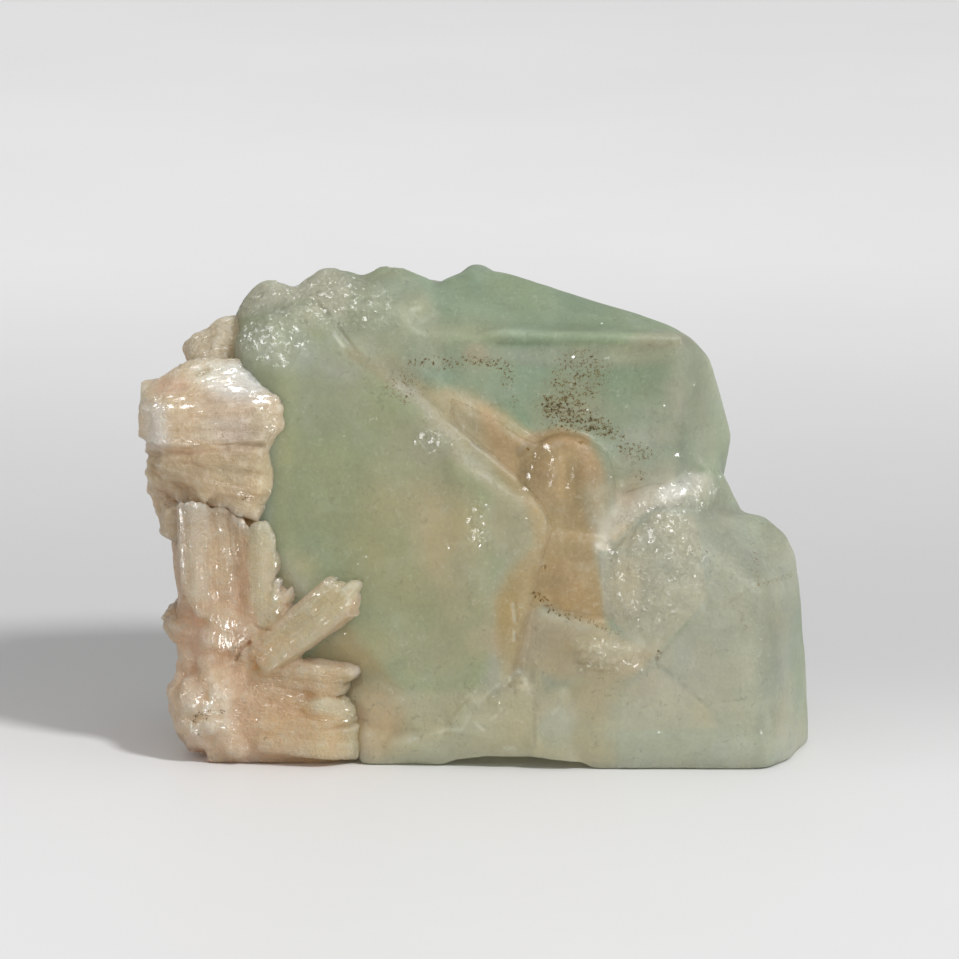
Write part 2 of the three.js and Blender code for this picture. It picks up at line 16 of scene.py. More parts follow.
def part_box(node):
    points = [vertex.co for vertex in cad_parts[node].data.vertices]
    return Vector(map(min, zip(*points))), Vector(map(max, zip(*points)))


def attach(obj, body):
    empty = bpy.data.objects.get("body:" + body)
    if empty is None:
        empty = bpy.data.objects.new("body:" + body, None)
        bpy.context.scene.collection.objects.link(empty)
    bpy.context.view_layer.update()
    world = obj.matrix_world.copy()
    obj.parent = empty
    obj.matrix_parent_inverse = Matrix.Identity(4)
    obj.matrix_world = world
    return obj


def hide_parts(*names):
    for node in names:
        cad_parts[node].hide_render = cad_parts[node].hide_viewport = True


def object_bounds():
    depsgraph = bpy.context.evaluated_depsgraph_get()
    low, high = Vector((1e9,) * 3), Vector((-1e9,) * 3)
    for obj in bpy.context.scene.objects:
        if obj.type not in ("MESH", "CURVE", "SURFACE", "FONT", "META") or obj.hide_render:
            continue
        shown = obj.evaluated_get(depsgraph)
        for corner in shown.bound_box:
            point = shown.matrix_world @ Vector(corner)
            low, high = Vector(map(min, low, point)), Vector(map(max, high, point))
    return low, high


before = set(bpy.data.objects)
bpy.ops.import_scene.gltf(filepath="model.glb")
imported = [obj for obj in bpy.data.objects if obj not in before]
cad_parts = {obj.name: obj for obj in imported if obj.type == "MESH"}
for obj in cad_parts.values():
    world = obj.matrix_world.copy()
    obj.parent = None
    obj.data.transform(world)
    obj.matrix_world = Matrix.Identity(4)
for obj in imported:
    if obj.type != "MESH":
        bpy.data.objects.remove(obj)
CAD_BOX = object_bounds()

MM = 0.001
CAD_BOX_LOW, CAD_BOX_HIGH = (np.array(corner) / MM for corner in CAD_BOX)
FLOOR = CAD_BOX_LOW[2]

# ---- Camera ------------------------------------------------------------------------------------
# all but the photograph's size in pixels are in millimetres
PHOTO_SIZE = 959
SENSOR = 36.0
LENS = 314.3
AIM = np.array([0.44, -3.43, 28.53])
DISTANCE = 900.0
ELEVATION = math.radians(12)

FORWARD = np.array([0, math.cos(ELEVATION), -math.sin(ELEVATION)])
RIGHT = np.array([1.0, 0, 0])
UP = np.cross(RIGHT, FORWARD)
EYE = AIM - DISTANCE * FORWARD

# ---- Light -------------------------------------------------------------------------------------
TO_KEY = np.array([0.525, -0.525, 0.669])
# a face with this normal mirrors the key light into the photograph
GLINT = (TO_KEY - FORWARD) / np.linalg.norm(TO_KEY - FORWARD)


def added(name, data):
    """A new object of the scene."""
    obj = bpy.data.objects.new(name, data)
    bpy.context.scene.collection.objects.link(obj)
    return obj


def add_camera():
    """The camera that the photograph was taken with."""
    data = bpy.data.cameras.new("photo_camera")
    data.sensor_width = SENSOR
    data.lens = LENS
    data.clip_start = 0.05
    camera = added("photo_camera", data)
    camera.location = Vector(EYE * MM)
    camera.rotation_euler = (math.pi / 2 - ELEVATION, 0, 0)
    bpy.context.scene.camera = camera


def photo_places(points):
    """The pixel at which the photograph shows each point."""
    rays = points - EYE
    scale = LENS / SENSOR * PHOTO_SIZE / (rays @ FORWARD)
    half = PHOTO_SIZE / 2
    return np.stack([half + rays @ RIGHT * scale, half - rays @ UP * scale], 1)


# ---- Colour ------------------------------------------------------------------------------------
def linear(colour):
    """A colour as 0-255 display values, turned into the linear values that shaders use."""
    c = np.asarray(colour, float) / 255
    return np.where(c <= 0.04045, c / 12.92, ((c + 0.055) / 1.055) ** 2.4)


def blend(colours, other, share):
    """The colours, turned into the other by a share from 0 to 1 for each vertex."""
    share = share[:, None]
    return colours * (1 - share) + other * share


# ---- Noise over arrays of points ---------------------------------------------------------------
def hashed(cell, seed):
    """A repeatable random number from 0 to 1 for each whole-numbered cell."""
    mask = 0xFFFFFFFF
    h = (cell[..., 0] * 374761393 + cell[..., 1] * 668265263
         + cell[..., 2] * 1440662683 + seed * 1274126177) & mask
    h = ((h ^ (h >> 13)) * 1103515245) & mask
    h = ((h ^ (h >> 16)) * 69069) & mask
    return ((h ^ (h >> 15)) & 0xFFFF) / 65535.0


CORNERS = np.array([[i, j, k] for i in (0, 1) for j in (0, 1) for k in (0, 1)])
NEIGHBOURS = np.array([[i, j, k] for i in (-1, 0, 1) for j in (-1, 0, 1) for k in (-1, 0, 1)])
# in cells, further than any scattered place of the cells round a point
FAR = 9.0


def noise(points, size, seed=0):
    """Smooth noise from -1 to 1 with features of a size in millimetres."""
    p = points / size
    cell = np.floor(p).astype(np.int64)
    f = p - cell
    f = f * f * (3 - 2 * f)
    total = np.zeros(len(points))
    for corner in CORNERS:
        weight = np.prod(np.where(corner, f, 1 - f), axis=1)
        total += weight * hashed(cell + corner, seed)
    return 2 * total - 1


def fractal(points, size, octaves, seed=0):
    """Noise with finer and fainter noise on it."""
    total = np.zeros(len(points))
    for i in range(octaves):
        total += noise(points, size / 2 ** i, seed + i) / 2 ** i
    return total


def random_vectors(cell, seed):
    """Three repeatable random numbers from 0 to 1 for each cell."""
    return np.stack([hashed(cell, seed + k) for k in range(3)], 1)


def scattered(points, size, seed):
    """Yields the cells round each point, its offset from the scattered place in each, and its distance."""
    p = points / size
    home = np.floor(p).astype(np.int64)
    for step in NEIGHBOURS:
        cell = home + step
        offset = p - (cell + random_vectors(cell, seed + 1))
        yield cell, offset, np.linalg.norm(offset, axis=1)


def cells(points, size, seed=0):
    """For each point, how much nearer the nearest scattered place is than the next, and its random id."""
    first = np.full(len(points), FAR)
    second = np.full(len(points), FAR)
    label = np.zeros(len(points))
    for cell, _, gap in scattered(points, size, seed):
        nearer = gap < first
        second = np.where(nearer, first, np.minimum(second, gap))
        label = np.where(nearer, hashed(cell, seed + 4), label)
        first = np.where(nearer, gap, first)
    return second - first, label


def facets(points, size, seed):
    """Height of small flat facets that tilt at random, in units of their size."""
    best = np.full(len(points), FAR)
    height = np.zeros(len(points))
    for cell, offset, gap in scattered(points, size, seed):
        here = np.sum(offset * (random_vectors(cell, seed + 5) - 0.5), axis=1)
        height = np.where(gap < best, here, height)
        best = np.minimum(best, gap)
    return height


def layered(points, *layers):
    """The sum of layers (pattern, height, size, seed), with heights and sizes in millimetres."""
    return sum(height * pattern(points, size, seed) for pattern, height, size, seed in layers)


def smooth(low, high, x):
    """0 below low, 1 above high, and an even curve between."""
    t = np.clip((x - low) / (high - low), 0, 1)
    return t * t * (3 - 2 * t)


# ---- Zones of the photograph -------------------------------------------------------------------
# oval, run and area each return a function that gives, for an array of pixels, 1 inside the zone and
# 0 outside it.
OVAL_CORE = 0.4
RUN_CORE = 0.35


def oval(centre, radii, turn=0.0):
    """A turned ellipse that fades outside its core, given as a share of its radius."""
    a = math.radians(turn)

    def mask(pixels):
        x = pixels[:, 0] - centre[0]
        y = pixels[:, 1] - centre[1]
        u = (x * math.cos(a) + y * math.sin(a)) / radii[0]
        v = (-x * math.sin(a) + y * math.cos(a)) / radii[1]
        return 1 - smooth(OVAL_CORE, 1, np.hypot(u, v))
    return mask


def segment_gap(pixels, a, b):
    """Distance in pixels from each place to the segment from a to b."""
    a = np.array(a, float)
    b = np.array(b, float)
    t = np.clip((pixels - a) @ (b - a) / ((b - a) @ (b - a)), 0, 1)
    return np.linalg.norm(pixels - a - t[:, None] * (b - a), axis=1)


def run(corners, width):
    """A run of straight lines that fades outside its core, and to nothing at a width in pixels."""
    def mask(pixels):
        gap = np.min([segment_gap(pixels, a, b) for a, b in zip(corners, corners[1:])], axis=0)
        return 1 - smooth(RUN_CORE * width, width, gap)
    return mask


def area(corners, soft):
    """An outline whose edge is soft by that many pixels."""
    loop = corners[1:] + corners[:1]

    def mask(pixels):
        gap = np.min([segment_gap(pixels, a, b) for a, b in zip(corners, loop)], axis=0)
        inside = np.zeros(len(pixels), bool)
        x, y = pixels.T
        for (ax, ay), (bx, by) in zip(corners, loop):
            if ay != by:
                inside ^= ((ay > y) != (by > y)) & (x < ax + (y - ay) * (bx - ax) / (by - ay))
        return smooth(-soft, soft, np.where(inside, gap, -gap))
    return mask


def painted(base, skin, zones):
    """The base colours with each zone (mask, colour, strength) laid over the last, on the front only."""
    tint = base
    for mask, colour, strength in zones:
        tint = blend(tint, linear(colour), skin.within(mask) * strength)
    return tint


def toned(tint, skin, zones):
    """The colours with each zone (mask, factor) multiplied in, on the front only."""
    for mask, factor in zones:
        tint = tint * (1 + skin.within(mask)[:, None] * (np.array(factor) - 1))
    return tint


def strongest(skin, zones):
    """The strongest of the zones (mask, strength) at each vertex, on the front only."""
    return np.max([skin.within(mask) * strength for mask, strength in zones], axis=0)


def marks(skin, specks, grains, glints):
    """What a material reads as its mark: specks, glitter or grains, and glints."""
    return np.stack([strongest(skin, specks), grains, strongest(skin, glints)], 1)


def mottled(skin, colour, other, size, seed, reach=0.6):
    """The one colour and the other in patches of a size in millimetres."""
    return blend(linear(other), linear(colour), smooth(-reach, reach, fractal(skin.points, size, 3, seed)))


# ---- Dense meshes ------------------------------------------------------------------------------
def vectors(items, name):
    """The vector of that name of each of Blender's items, as rows."""
    values = np.empty(len(items) * 3)
    items.foreach_get(name, values)
    return values.reshape(-1, 3)


# from front to back, the surface turns from what the photograph shows to what it can't between these
FRONT_ENDS = 3.0
BACK_STARTS = 9.0


class Skin:
    """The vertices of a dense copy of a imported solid, in millimetres, with what is known of each.

    Once stored, edge is above nought on ridges and below it in creases, and texture is so for the relief."""

    def __init__(self, mesh):
        self.points = vectors(mesh.vertices, "co")
        self.normals = vectors(mesh.vertex_normals, "vector")
        self.pixels = photo_places(self.points)
        self.back = smooth(FRONT_ENDS, BACK_STARTS, self.points[:, 1])
        self.front = 1 - self.back
        if "edge" in mesh.attributes:
            self.edge, self.texture, _ = vectors(mesh.attributes["edge"].data, "vector").T

    def within(self, mask):
        """The photograph's zone at each vertex, on the front only."""
        return mask(self.pixels) * self.front


def apply_modifiers(obj):
    """Gives the object the mesh that its modifiers make."""
    graph = bpy.context.evaluated_depsgraph_get()
    mesh = bpy.data.meshes.new_from_object(obj.evaluated_get(graph))
    obj.modifiers.clear()
    obj.data = mesh


def dense_copy(nodes, name, voxel, swell, infill=()):
    """A new object, in millimetres for now, with the nodes' solids remeshed as one, and boxes of infill.

    It is swelled and shrunk again on the way, which closes seams and notches narrower than twice swell."""
    form = bmesh.new()
    for node in nodes:
        form.from_mesh(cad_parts[node].data)
    bmesh.ops.remove_doubles(form, verts=form.verts, dist=1e-7)
    bmesh.ops.scale(form, vec=(1 / MM, 1 / MM, 1 / MM), verts=form.verts)
    for box in infill:
        low, high = (Vector(corner) for corner in box)
        place = Matrix.Translation((low + high) / 2) @ Matrix.Diagonal((*(high - low), 1.0))
        bmesh.ops.create_cube(form, size=1.0, matrix=place)
    mesh = bpy.data.meshes.new(name)
    form.to_mesh(mesh)
    form.free()
    obj = added(name, mesh)
    for growth in (swell, -swell, 0.0):
        remesh = obj.modifiers.new("remesh", "REMESH")
        remesh.mode = "VOXEL"
        remesh.voxel_size = voxel
        remesh.use_smooth_shade = True
        if growth:
            grow = obj.modifiers.new("grow", "DISPLACE")
            grow.mid_level = 0.0
            grow.strength = growth
    apply_modifiers(obj)
    return obj


def neighbour_middles(obj):
    """Returns a function that gives, for a row or number per vertex, the average of its neighbours'."""
    size = len(obj.data.vertices)
    edges = np.empty(len(obj.data.edges) * 2, np.int32)
    obj.data.edges.foreach_get("vertices", edges)
    a, b = edges.reshape(-1, 2).T
    count = np.bincount(a, minlength=size) + np.bincount(b, minlength=size)

    def middles(values):
        sums = [np.bincount(a, line[b], size) + np.bincount(b, line[a], size)
                for line in np.atleast_2d(values.T)]
        return (np.array(sums) / count).T.reshape(values.shape)
    return middles


def move_to(obj, points):
    """Moves the object's vertices to the points."""
    obj.data.vertices.foreach_set("co", points.ravel())
    obj.data.update()


def ease(obj, weight, rounds):
    """Relaxes the mesh, more where weight(skin) is larger, which rounds its edges."""
    skin = Skin(obj.data)
    share = 0.5 * weight(skin)[:, None]
    middles = neighbour_middles(obj)
    points = skin.points
    for _ in range(rounds):
        points = points + share * (middles(points) - points)
    points[:, 2] = np.maximum(points[:, 2], FLOOR)
    move_to(obj, points)


def surface_tree(node):
    """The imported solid's surface, in millimetres, for finding its nearest point."""
    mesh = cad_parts[node].data
    corners = [v.co / MM for v in mesh.vertices]
    faces = [tuple(polygon.vertices) for polygon in mesh.polygons]
    return BVHTree.FromPolygons(corners, faces)


# from how near a seam is closed, in millimetres, and how far the skin then sinks into its neighbour
PRESS_REACH = 1.5
PRESS_SINK = 0.1


def pressed_against(points, node):
    """The points, with those within reach of a neighbouring solid drawn onto it, to close the seam."""
    tree = surface_tree(node)
    low, high = (np.array(corner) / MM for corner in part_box(node))
    close = np.all((points > low - PRESS_REACH) & (points < high + PRESS_REACH), axis=1)
    moved = points.copy()
    for i in np.nonzero(close)[0]:
        place, normal, _, gap = tree.find_nearest(Vector(points[i]), PRESS_REACH)
        if place is None:
            continue
        pull = 1 - smooth(0.6 * PRESS_REACH, PRESS_REACH, gap)
        target = place - normal * PRESS_SINK
        moved[i] += (np.array(target) - points[i]) * pull
    return moved


# vertices this low, in millimetres, belong to the flat foot
FOOT_RIM = 0.25


def displace(obj, skin, lift, neighbours):
    """Moves each vertex by lift, along its normal or as a vector, and presses it onto its neighbours.

    The foot stays flat."""
    shift = lift if lift.ndim == 2 else skin.normals * lift[:, None]
    moved = skin.points + shift
    for node in neighbours:
        moved = pressed_against(moved, node)
    on_floor = skin.points[:, 2] < FLOOR + FOOT_RIM
    moved[:, 2] = np.where(on_floor, skin.points[:, 2], np.maximum(moved[:, 2], FLOOR))
    move_to(obj, np.clip(moved, CAD_BOX_LOW, CAD_BOX_HIGH))


# how many grades of weight the thinning has, and how strongly they steer it
THIN_STEPS = 10
THIN_PULL = 0.007


def thin_out(obj, most):
    """Collapses the mesh to at most that many triangles, keeping it finer where the photograph looks."""
    triangles = sum(len(p.vertices) - 2 for p in obj.data.polygons)
    if triangles <= most:
        return
    facing = Skin(obj.data).normals @ -FORWARD
    steps = np.maximum(1, np.round(THIN_STEPS * (1 - smooth(-0.1, 0.4, facing)))).astype(int)
    group = obj.vertex_groups.new(name="thin")
    for step in range(1, THIN_STEPS + 1):
        group.add(np.nonzero(steps == step)[0].tolist(), step / THIN_STEPS, "REPLACE")
    modifier = obj.modifiers.new("decimate", "DECIMATE")
    modifier.ratio = most / triangles
    modifier.use_collapse_triangulate = True
    modifier.vertex_group = group.name
    modifier.vertex_group_factor = THIN_PULL
    apply_modifiers(obj)
    obj.vertex_groups.clear()


def store(obj, name, values):
    """Keeps three numbers per vertex under a name that the material reads."""
    attribute = obj.data.attributes.new(name, "FLOAT_VECTOR", "POINT")
    attribute.data.foreach_set("vector", np.ascontiguousarray(values, np.float32).ravel())


def finish_piece(obj, node, slot, material, **stored):
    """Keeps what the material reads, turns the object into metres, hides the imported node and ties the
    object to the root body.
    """
    for name, values in stored.items():
        store(obj, name, values)
    for polygon in obj.data.polygons:
        polygon.use_smooth = True
    obj.data.transform(Matrix.Scale(MM, 4))
    obj.data.materials.clear()
    obj.data.materials.append(material)
    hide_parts(node)
    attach(obj, "root")


def edge_measure(obj, skin):
    """How far each vertex lies outside (+) or inside (-) the middle of its neighbours, evened out."""
    middles = neighbour_middles(obj)
    bend = np.sum((skin.points - middles(skin.points)) * skin.normals, axis=1)
    for _ in range(4):
        bend = 0.5 * bend + 0.5 * middles(bend)
    return bend


# ---- Node trees --------------------------------------------------------------------------------
# how fast the wandering vector changes, and how far it folds the coat where the surface glitters
WANDER_SCALE = 1.3
FOLD_TILT = 1.6
# the flakes that flashes are broken into: their size in millimetres and how far they tilt
FLAKE_SIZE = 0.45
FLAKE_TILT = 0.15
SPARK_RADIUS = 0.42
# streaks: half their width as a step of noise, the gate's level that keeps them out, and how far it opens
STREAK_HALF_WIDTH = 0.04
STREAK_GATE = 0.68
STREAK_OPENING = 0.34
# the coat's least and greatest weight in flashes and in streaks, and its weight where it glitters
FLASH_WEIGHTS = (0.01, 0.13)
STREAK_WEIGHTS = (0.0, 0.09)
GLITTER_WEIGHT = 0.06
# a face turned further than this from the glint has no flashes
GLINT_COSINE = 0.3
COAT_ROUGHNESS = 0.12
COAT_IOR = 1.6


class Shader:
    """Short calls that build one material's nodes."""

    def __init__(self, name):
        self.material = bpy.data.materials.new(name)
        self.material.use_nodes = True
        self.tree = self.material.node_tree
        self.tree.nodes.clear()

    def node(self, kind, inputs=None, **settings):
        """A new node, whose inputs are each linked to a socket or set to a value."""
        made = self.tree.nodes.new(kind)
        for key, value in settings.items():
            setattr(made, key, value)
        for key, value in (inputs or {}).items():
            if isinstance(value, bpy.types.NodeSocket):
                self.tree.links.new(value, made.inputs[key])
            else:
                made.inputs[key].default_value = value
        return made

    def attribute(self, name):
        return self.node("ShaderNodeAttribute", attribute_name=name).outputs["Vector"]

    def split(self, vector):
        return self.node("ShaderNodeSeparateXYZ", {0: vector}).outputs

    def millimetres(self):
        """Object coordinates in millimetres."""
        place = self.node("ShaderNodeTexCoord").outputs["Object"]
        return self.vector("SCALE", place, scale=1 / MM)

    def vector(self, operation, a, b=None, scale=None):
        inputs = {0: a}
        if b is not None:
            inputs[1] = b
        if scale is not None:
            inputs["Scale"] = scale
        return self.node("ShaderNodeVectorMath", inputs, operation=operation).outputs["Vector"]

    def math(self, operation, a, b=0.0):
        return self.node("ShaderNodeMath", {0: a, 1: b}, operation=operation).outputs[0]

    def times(self, a, b):
        return self.math("MULTIPLY", a, b)

    def plus(self, a, b):
        return self.math("ADD", a, b)

    def minus(self, a, b):
        return self.math("SUBTRACT", a, b)

    def most(self, a, b):
        return self.math("MAXIMUM", a, b)

    def above(self, a, b):
        """1 where a is above b, and 0 elsewhere."""
        return self.math("GREATER_THAN", a, b)

    def below(self, a, b):
        return self.math("LESS_THAN", a, b)

    def fit(self, value, low, high, to_low=0.0, to_high=1.0):
        """Smoothly maps low..high to to_low..to_high."""
        return self.node("ShaderNodeMapRange", {"Value": value, "From Min": low, "From Max": high,
                                                "To Min": to_low, "To Max": to_high},
                         interpolation_type="SMOOTHSTEP").outputs[0]

    def swing(self, field, amount, middle=0.0):
        """The noise, spread evenly from that amount below the middle to as much above it."""
        return self.fit(field, 0.3, 0.7, middle - amount, middle + amount)

    def noise(self, vector, scale, detail=3.0, roughness=0.55):
        return self.node("ShaderNodeTexNoise", {"Vector": vector, "Scale": scale, "Detail": detail,
                                                "Roughness": roughness}).outputs[0]

    def cells(self, vector, scale):
        """The random colour of the nearest scattered place, and the distance to it."""
        made = self.node("ShaderNodeTexVoronoi", {"Vector": vector, "Scale": scale})
        return made.outputs["Color"], made.outputs["Distance"]

    def mix(self, factor, a, b):
        """The colour a, turning to b as the factor goes from 0 to 1."""
        return self.node("ShaderNodeMix", {0: factor, 6: a, 7: b}, data_type="RGBA").outputs[2]

    def bump(self, height, distance, strength):
        """The normal bent by a height of that distance in millimetres."""
        inputs = {"Height": height, "Distance": distance * MM, "Strength": strength}
        return self.node("ShaderNodeBump", inputs).outputs[0]

    def wandering(self, place, scale, detail=1.0):
        """A small random vector that changes smoothly from place to place."""
        made = self.node("ShaderNodeTexNoise", {"Vector": place, "Scale": scale, "Detail": detail,
                                                "Roughness": 0.6})
        return self.vector("SUBTRACT", made.outputs["Color"], (0.5, 0.5, 0.5))

    def shifted(self, place, wander, amount):
        """The place, moved about by the wandering vector."""
        return self.vector("ADD", place, self.vector("SCALE", wander, scale=amount))

    def random_tilt(self, place, size, amount):
        """A small random vector for each cell of a size in millimetres."""
        colour, _ = self.cells(place, 1 / size)
        return self.vector("SCALE", self.vector("SUBTRACT", colour, (0.5, 0.5, 0.5)), scale=amount)

    def sparks(self, place, size, share):
        """Small crisp spots in a share of cells of a size in millimetres."""
        colour, distance = self.cells(place, 1 / size)
        return self.times(self.below(self.split(colour)[2], share), self.below(distance, SPARK_RADIUS))

    def streaks(self, place, scale, gate, share):
        """Short crisp wavy lines, more of them where share is larger."""
        offset = self.math("ABSOLUTE", self.minus(self.noise(place, scale, detail=1), 0.5))
        edge = self.minus(STREAK_GATE, self.times(share, STREAK_OPENING))
        return self.times(self.below(offset, STREAK_HALF_WIDTH), self.above(gate, edge))

    def coat(self, normal, wander, flake_place, flash, streak, glitter, faint, shine=1.0):
        """The glossy coat's normal and weight.

        It turns to the glint in flashes and, more faintly, in streaks, each flake a little off it. Where the
        surface glitters it is crumpled. Elsewhere the coat is faint."""
        facing = self.node("ShaderNodeVectorMath", {0: normal, 1: tuple(GLINT)}, operation="DOT_PRODUCT")
        lit = self.above(facing.outputs["Value"], GLINT_COSINE)
        turn = self.times(self.most(self.above(flash, 0.0), streak), lit)
        flakes = self.random_tilt(flake_place, FLAKE_SIZE, FLAKE_TILT)
        folds = self.vector("SCALE", wander, scale=self.times(glitter, FOLD_TILT))
        kept = self.vector("SCALE", self.vector("ADD", normal, folds), scale=self.minus(1.0, turn))
        turned = self.vector("SCALE", self.vector("ADD", flakes, tuple(GLINT)), scale=turn)
        face = self.vector("NORMALIZE", self.vector("ADD", kept, turned))
        level = self.split(wander)[1]
        flash_level = self.fit(level, -0.12, 0.16, *(shine * weight for weight in FLASH_WEIGHTS))
        streak_level = self.fit(level, -0.08, 0.15, *(shine * weight for weight in STREAK_WEIGHTS))
        weight = self.most(self.times(flash, flash_level), self.times(glitter, GLITTER_WEIGHT))
        return face, self.most(self.most(self.times(streak, streak_level), weight), faint)

    def surface(self, inputs, absorption=None):
        """The finished material, with an absorption (colour, density) where it is see-through."""
        shader = self.node("ShaderNodeBsdfPrincipled", inputs)
        output = self.node("ShaderNodeOutputMaterial", {"Surface": shader.outputs[0]})
        if absorption:
            colour, density = absorption
            volume = self.node("ShaderNodeVolumeAbsorption", {"Color": colour, "Density": density})
            self.tree.links.new(volume.outputs[0], output.inputs["Volume"])
        return self.material


def rgba(colour):
    return (*linear(colour), 1.0)


# ---- Materials ---------------------------------------------------------------------------------
BLACK_SPECK = (46, 36, 10)
BROWN_SPECK = (136, 106, 44)
CRACK = (104, 98, 72)
VEIL = (226, 228, 214)
# the pale of the stilbite's silky fibres, with painted sheen
SILK_AND_SHEEN_WHITE = (238, 228, 212)
# what the apophyllite absorbs: the colour that is left, and how fast, per metre
DEPTH = (222, 232, 212)
DEPTH_DENSITY = 9.0
APOPHYLLITE_IOR = 1.535
STILBITE_IOR = 1.5
# the fineness of the stilbite's fibres, in millimetres
FIBRE_WIDTH = 0.17
FIBRE_LENGTH = 2.0


def specked(s, colour, place, speck, scale):
    """The colour with brown and black specks where speck is above nought."""
    dust = s.noise(place, scale, detail=2, roughness=0.8)
    over = s.minus(dust, s.minus(0.70, s.times(speck, 0.18)))
    here = s.fit(speck, 0.0, 0.3)
    brown = s.times(s.fit(over, -0.08, 0.0, 0.0, 0.8), here)
    dark = s.times(s.fit(over, 0.03, 0.07, 0.0, 0.9), here)
    return s.mix(dark, s.mix(brown, colour, rgba(BROWN_SPECK)), rgba(BLACK_SPECK))


def hairline(s, field, level, width):
    """1 along the line where the field passes the level, fading to 0 at a width either side."""
    return s.fit(s.math("ABSOLUTE", s.minus(field, level)), 0.0, width, 1.0, 0.0)


def flashes(s, lustre, glint):
    """Above nought over a share of the surface that grows with glint, and brighter where glint is over 1."""
    even = s.fit(lustre, 0.34, 0.66)
    here = s.above(even, s.minus(1.0, s.times(glint, 0.66)))
    here = s.times(here, s.above(glint, 0.04))
    return s.times(here, s.fit(glint, 0.9, 1.3, 1.0, 6.0))


def apophyllite_material(name, transmission, cracked):
    """Cloudy apophyllite, or the amber stilbite in it, with hairline cracks as strong as cracked says."""
    s = Shader(name)
    place = s.millimetres()
    tint = s.attribute("tint")
    speck, sparkle, glint = s.split(s.attribute("mark"))

    # soft clouds, blotches, grain and flat panes, each a little lighter or darker
    cloud = s.noise(place, 0.16, detail=3)
    blotch = s.noise(place, 0.55, detail=3, roughness=0.6)
    grain = s.noise(place, 2.6, detail=3, roughness=0.7)
    pane, _ = s.cells(s.shifted(place, s.wandering(place, 0.5, 0.0), 2.4), 0.5)
    pane_tone = s.times(s.minus(s.split(pane)[0], 0.5), s.plus(0.035, s.times(sparkle, 0.13)))
    shade = s.plus(s.swing(cloud, 0.05), s.swing(blotch, 0.04))
    shade = s.plus(s.plus(shade, pane_tone), s.swing(grain, 0.05, 1.0))
    colour = s.vector("SCALE", tint, scale=shade)

    # pale and dark hairline cracks that come and go
    fine = s.noise(place, 1.3, detail=3, roughness=0.7)
    pale_strength = s.fit(cloud, 0.4, 0.55, 0.08 * cracked, 0.34 * cracked)
    pale_crack = s.times(hairline(s, blotch, 0.5, 0.03), s.times(s.fit(fine, 0.52, 0.6), pale_strength))
    dark_crack = s.times(hairline(s, cloud, 0.48, 0.011), s.fit(fine, 0.5, 0.42, 0.0, 0.26 * cracked))
    colour = s.mix(dark_crack, s.mix(pale_crack, colour, rgba(VEIL)), rgba(CRACK))

    # milky veils, frost on broken ground, and specks
    veil = s.fit(s.noise(place, 0.34, detail=3, roughness=0.65), 0.5, 0.72, 0.0, 0.16)
    frost = s.times(s.fit(grain, 0.5, 0.68), s.plus(0.05, s.times(sparkle, 0.25)))
    colour = s.mix(s.most(veil, frost), colour, rgba(VEIL))
    colour = specked(s, colour, place, speck, 3.0)

    # a crinkled surface, with flashes, sparks and streaks of gloss
    crinkle = s.times(fine, s.plus(0.6, s.times(sparkle, 2.4)))
    normal = s.bump(crinkle, 0.12, 0.9)
    wander = s.wandering(place, WANDER_SCALE)
    bent = s.shifted(place, wander, 1.0)
    lustre = s.noise(bent, 1.5, detail=2, roughness=0.7)
    flash = s.most(flashes(s, lustre, glint), s.sparks(bent, 0.24, 0.005))
    streak = s.streaks(bent, 1.1, grain, s.times(sparkle, 0.8))
    soft, gloss, _ = s.split(s.attribute("soft"))
    face, coat = s.coat(normal, wander, bent, flash, streak, sparkle, s.plus(0.02, gloss))
    rough = s.plus(s.swing(blotch, 0.06, 0.52), s.times(sparkle, 0.2))
    return s.surface({
        "Base Color": colour, "Roughness": rough, "Normal": normal,
        "IOR": APOPHYLLITE_IOR, "Specular IOR Level": 0.3, "Transmission Weight": transmission,
        "Subsurface Weight": soft, "Subsurface Radius": (1.0, 1.0, 0.8), "Subsurface Scale": 6 * MM,
        "Coat Weight": coat, "Coat Roughness": COAT_ROUGHNESS, "Coat IOR": COAT_IOR, "Coat Normal": face,
    }, absorption=(rgba(DEPTH), DEPTH_DENSITY))


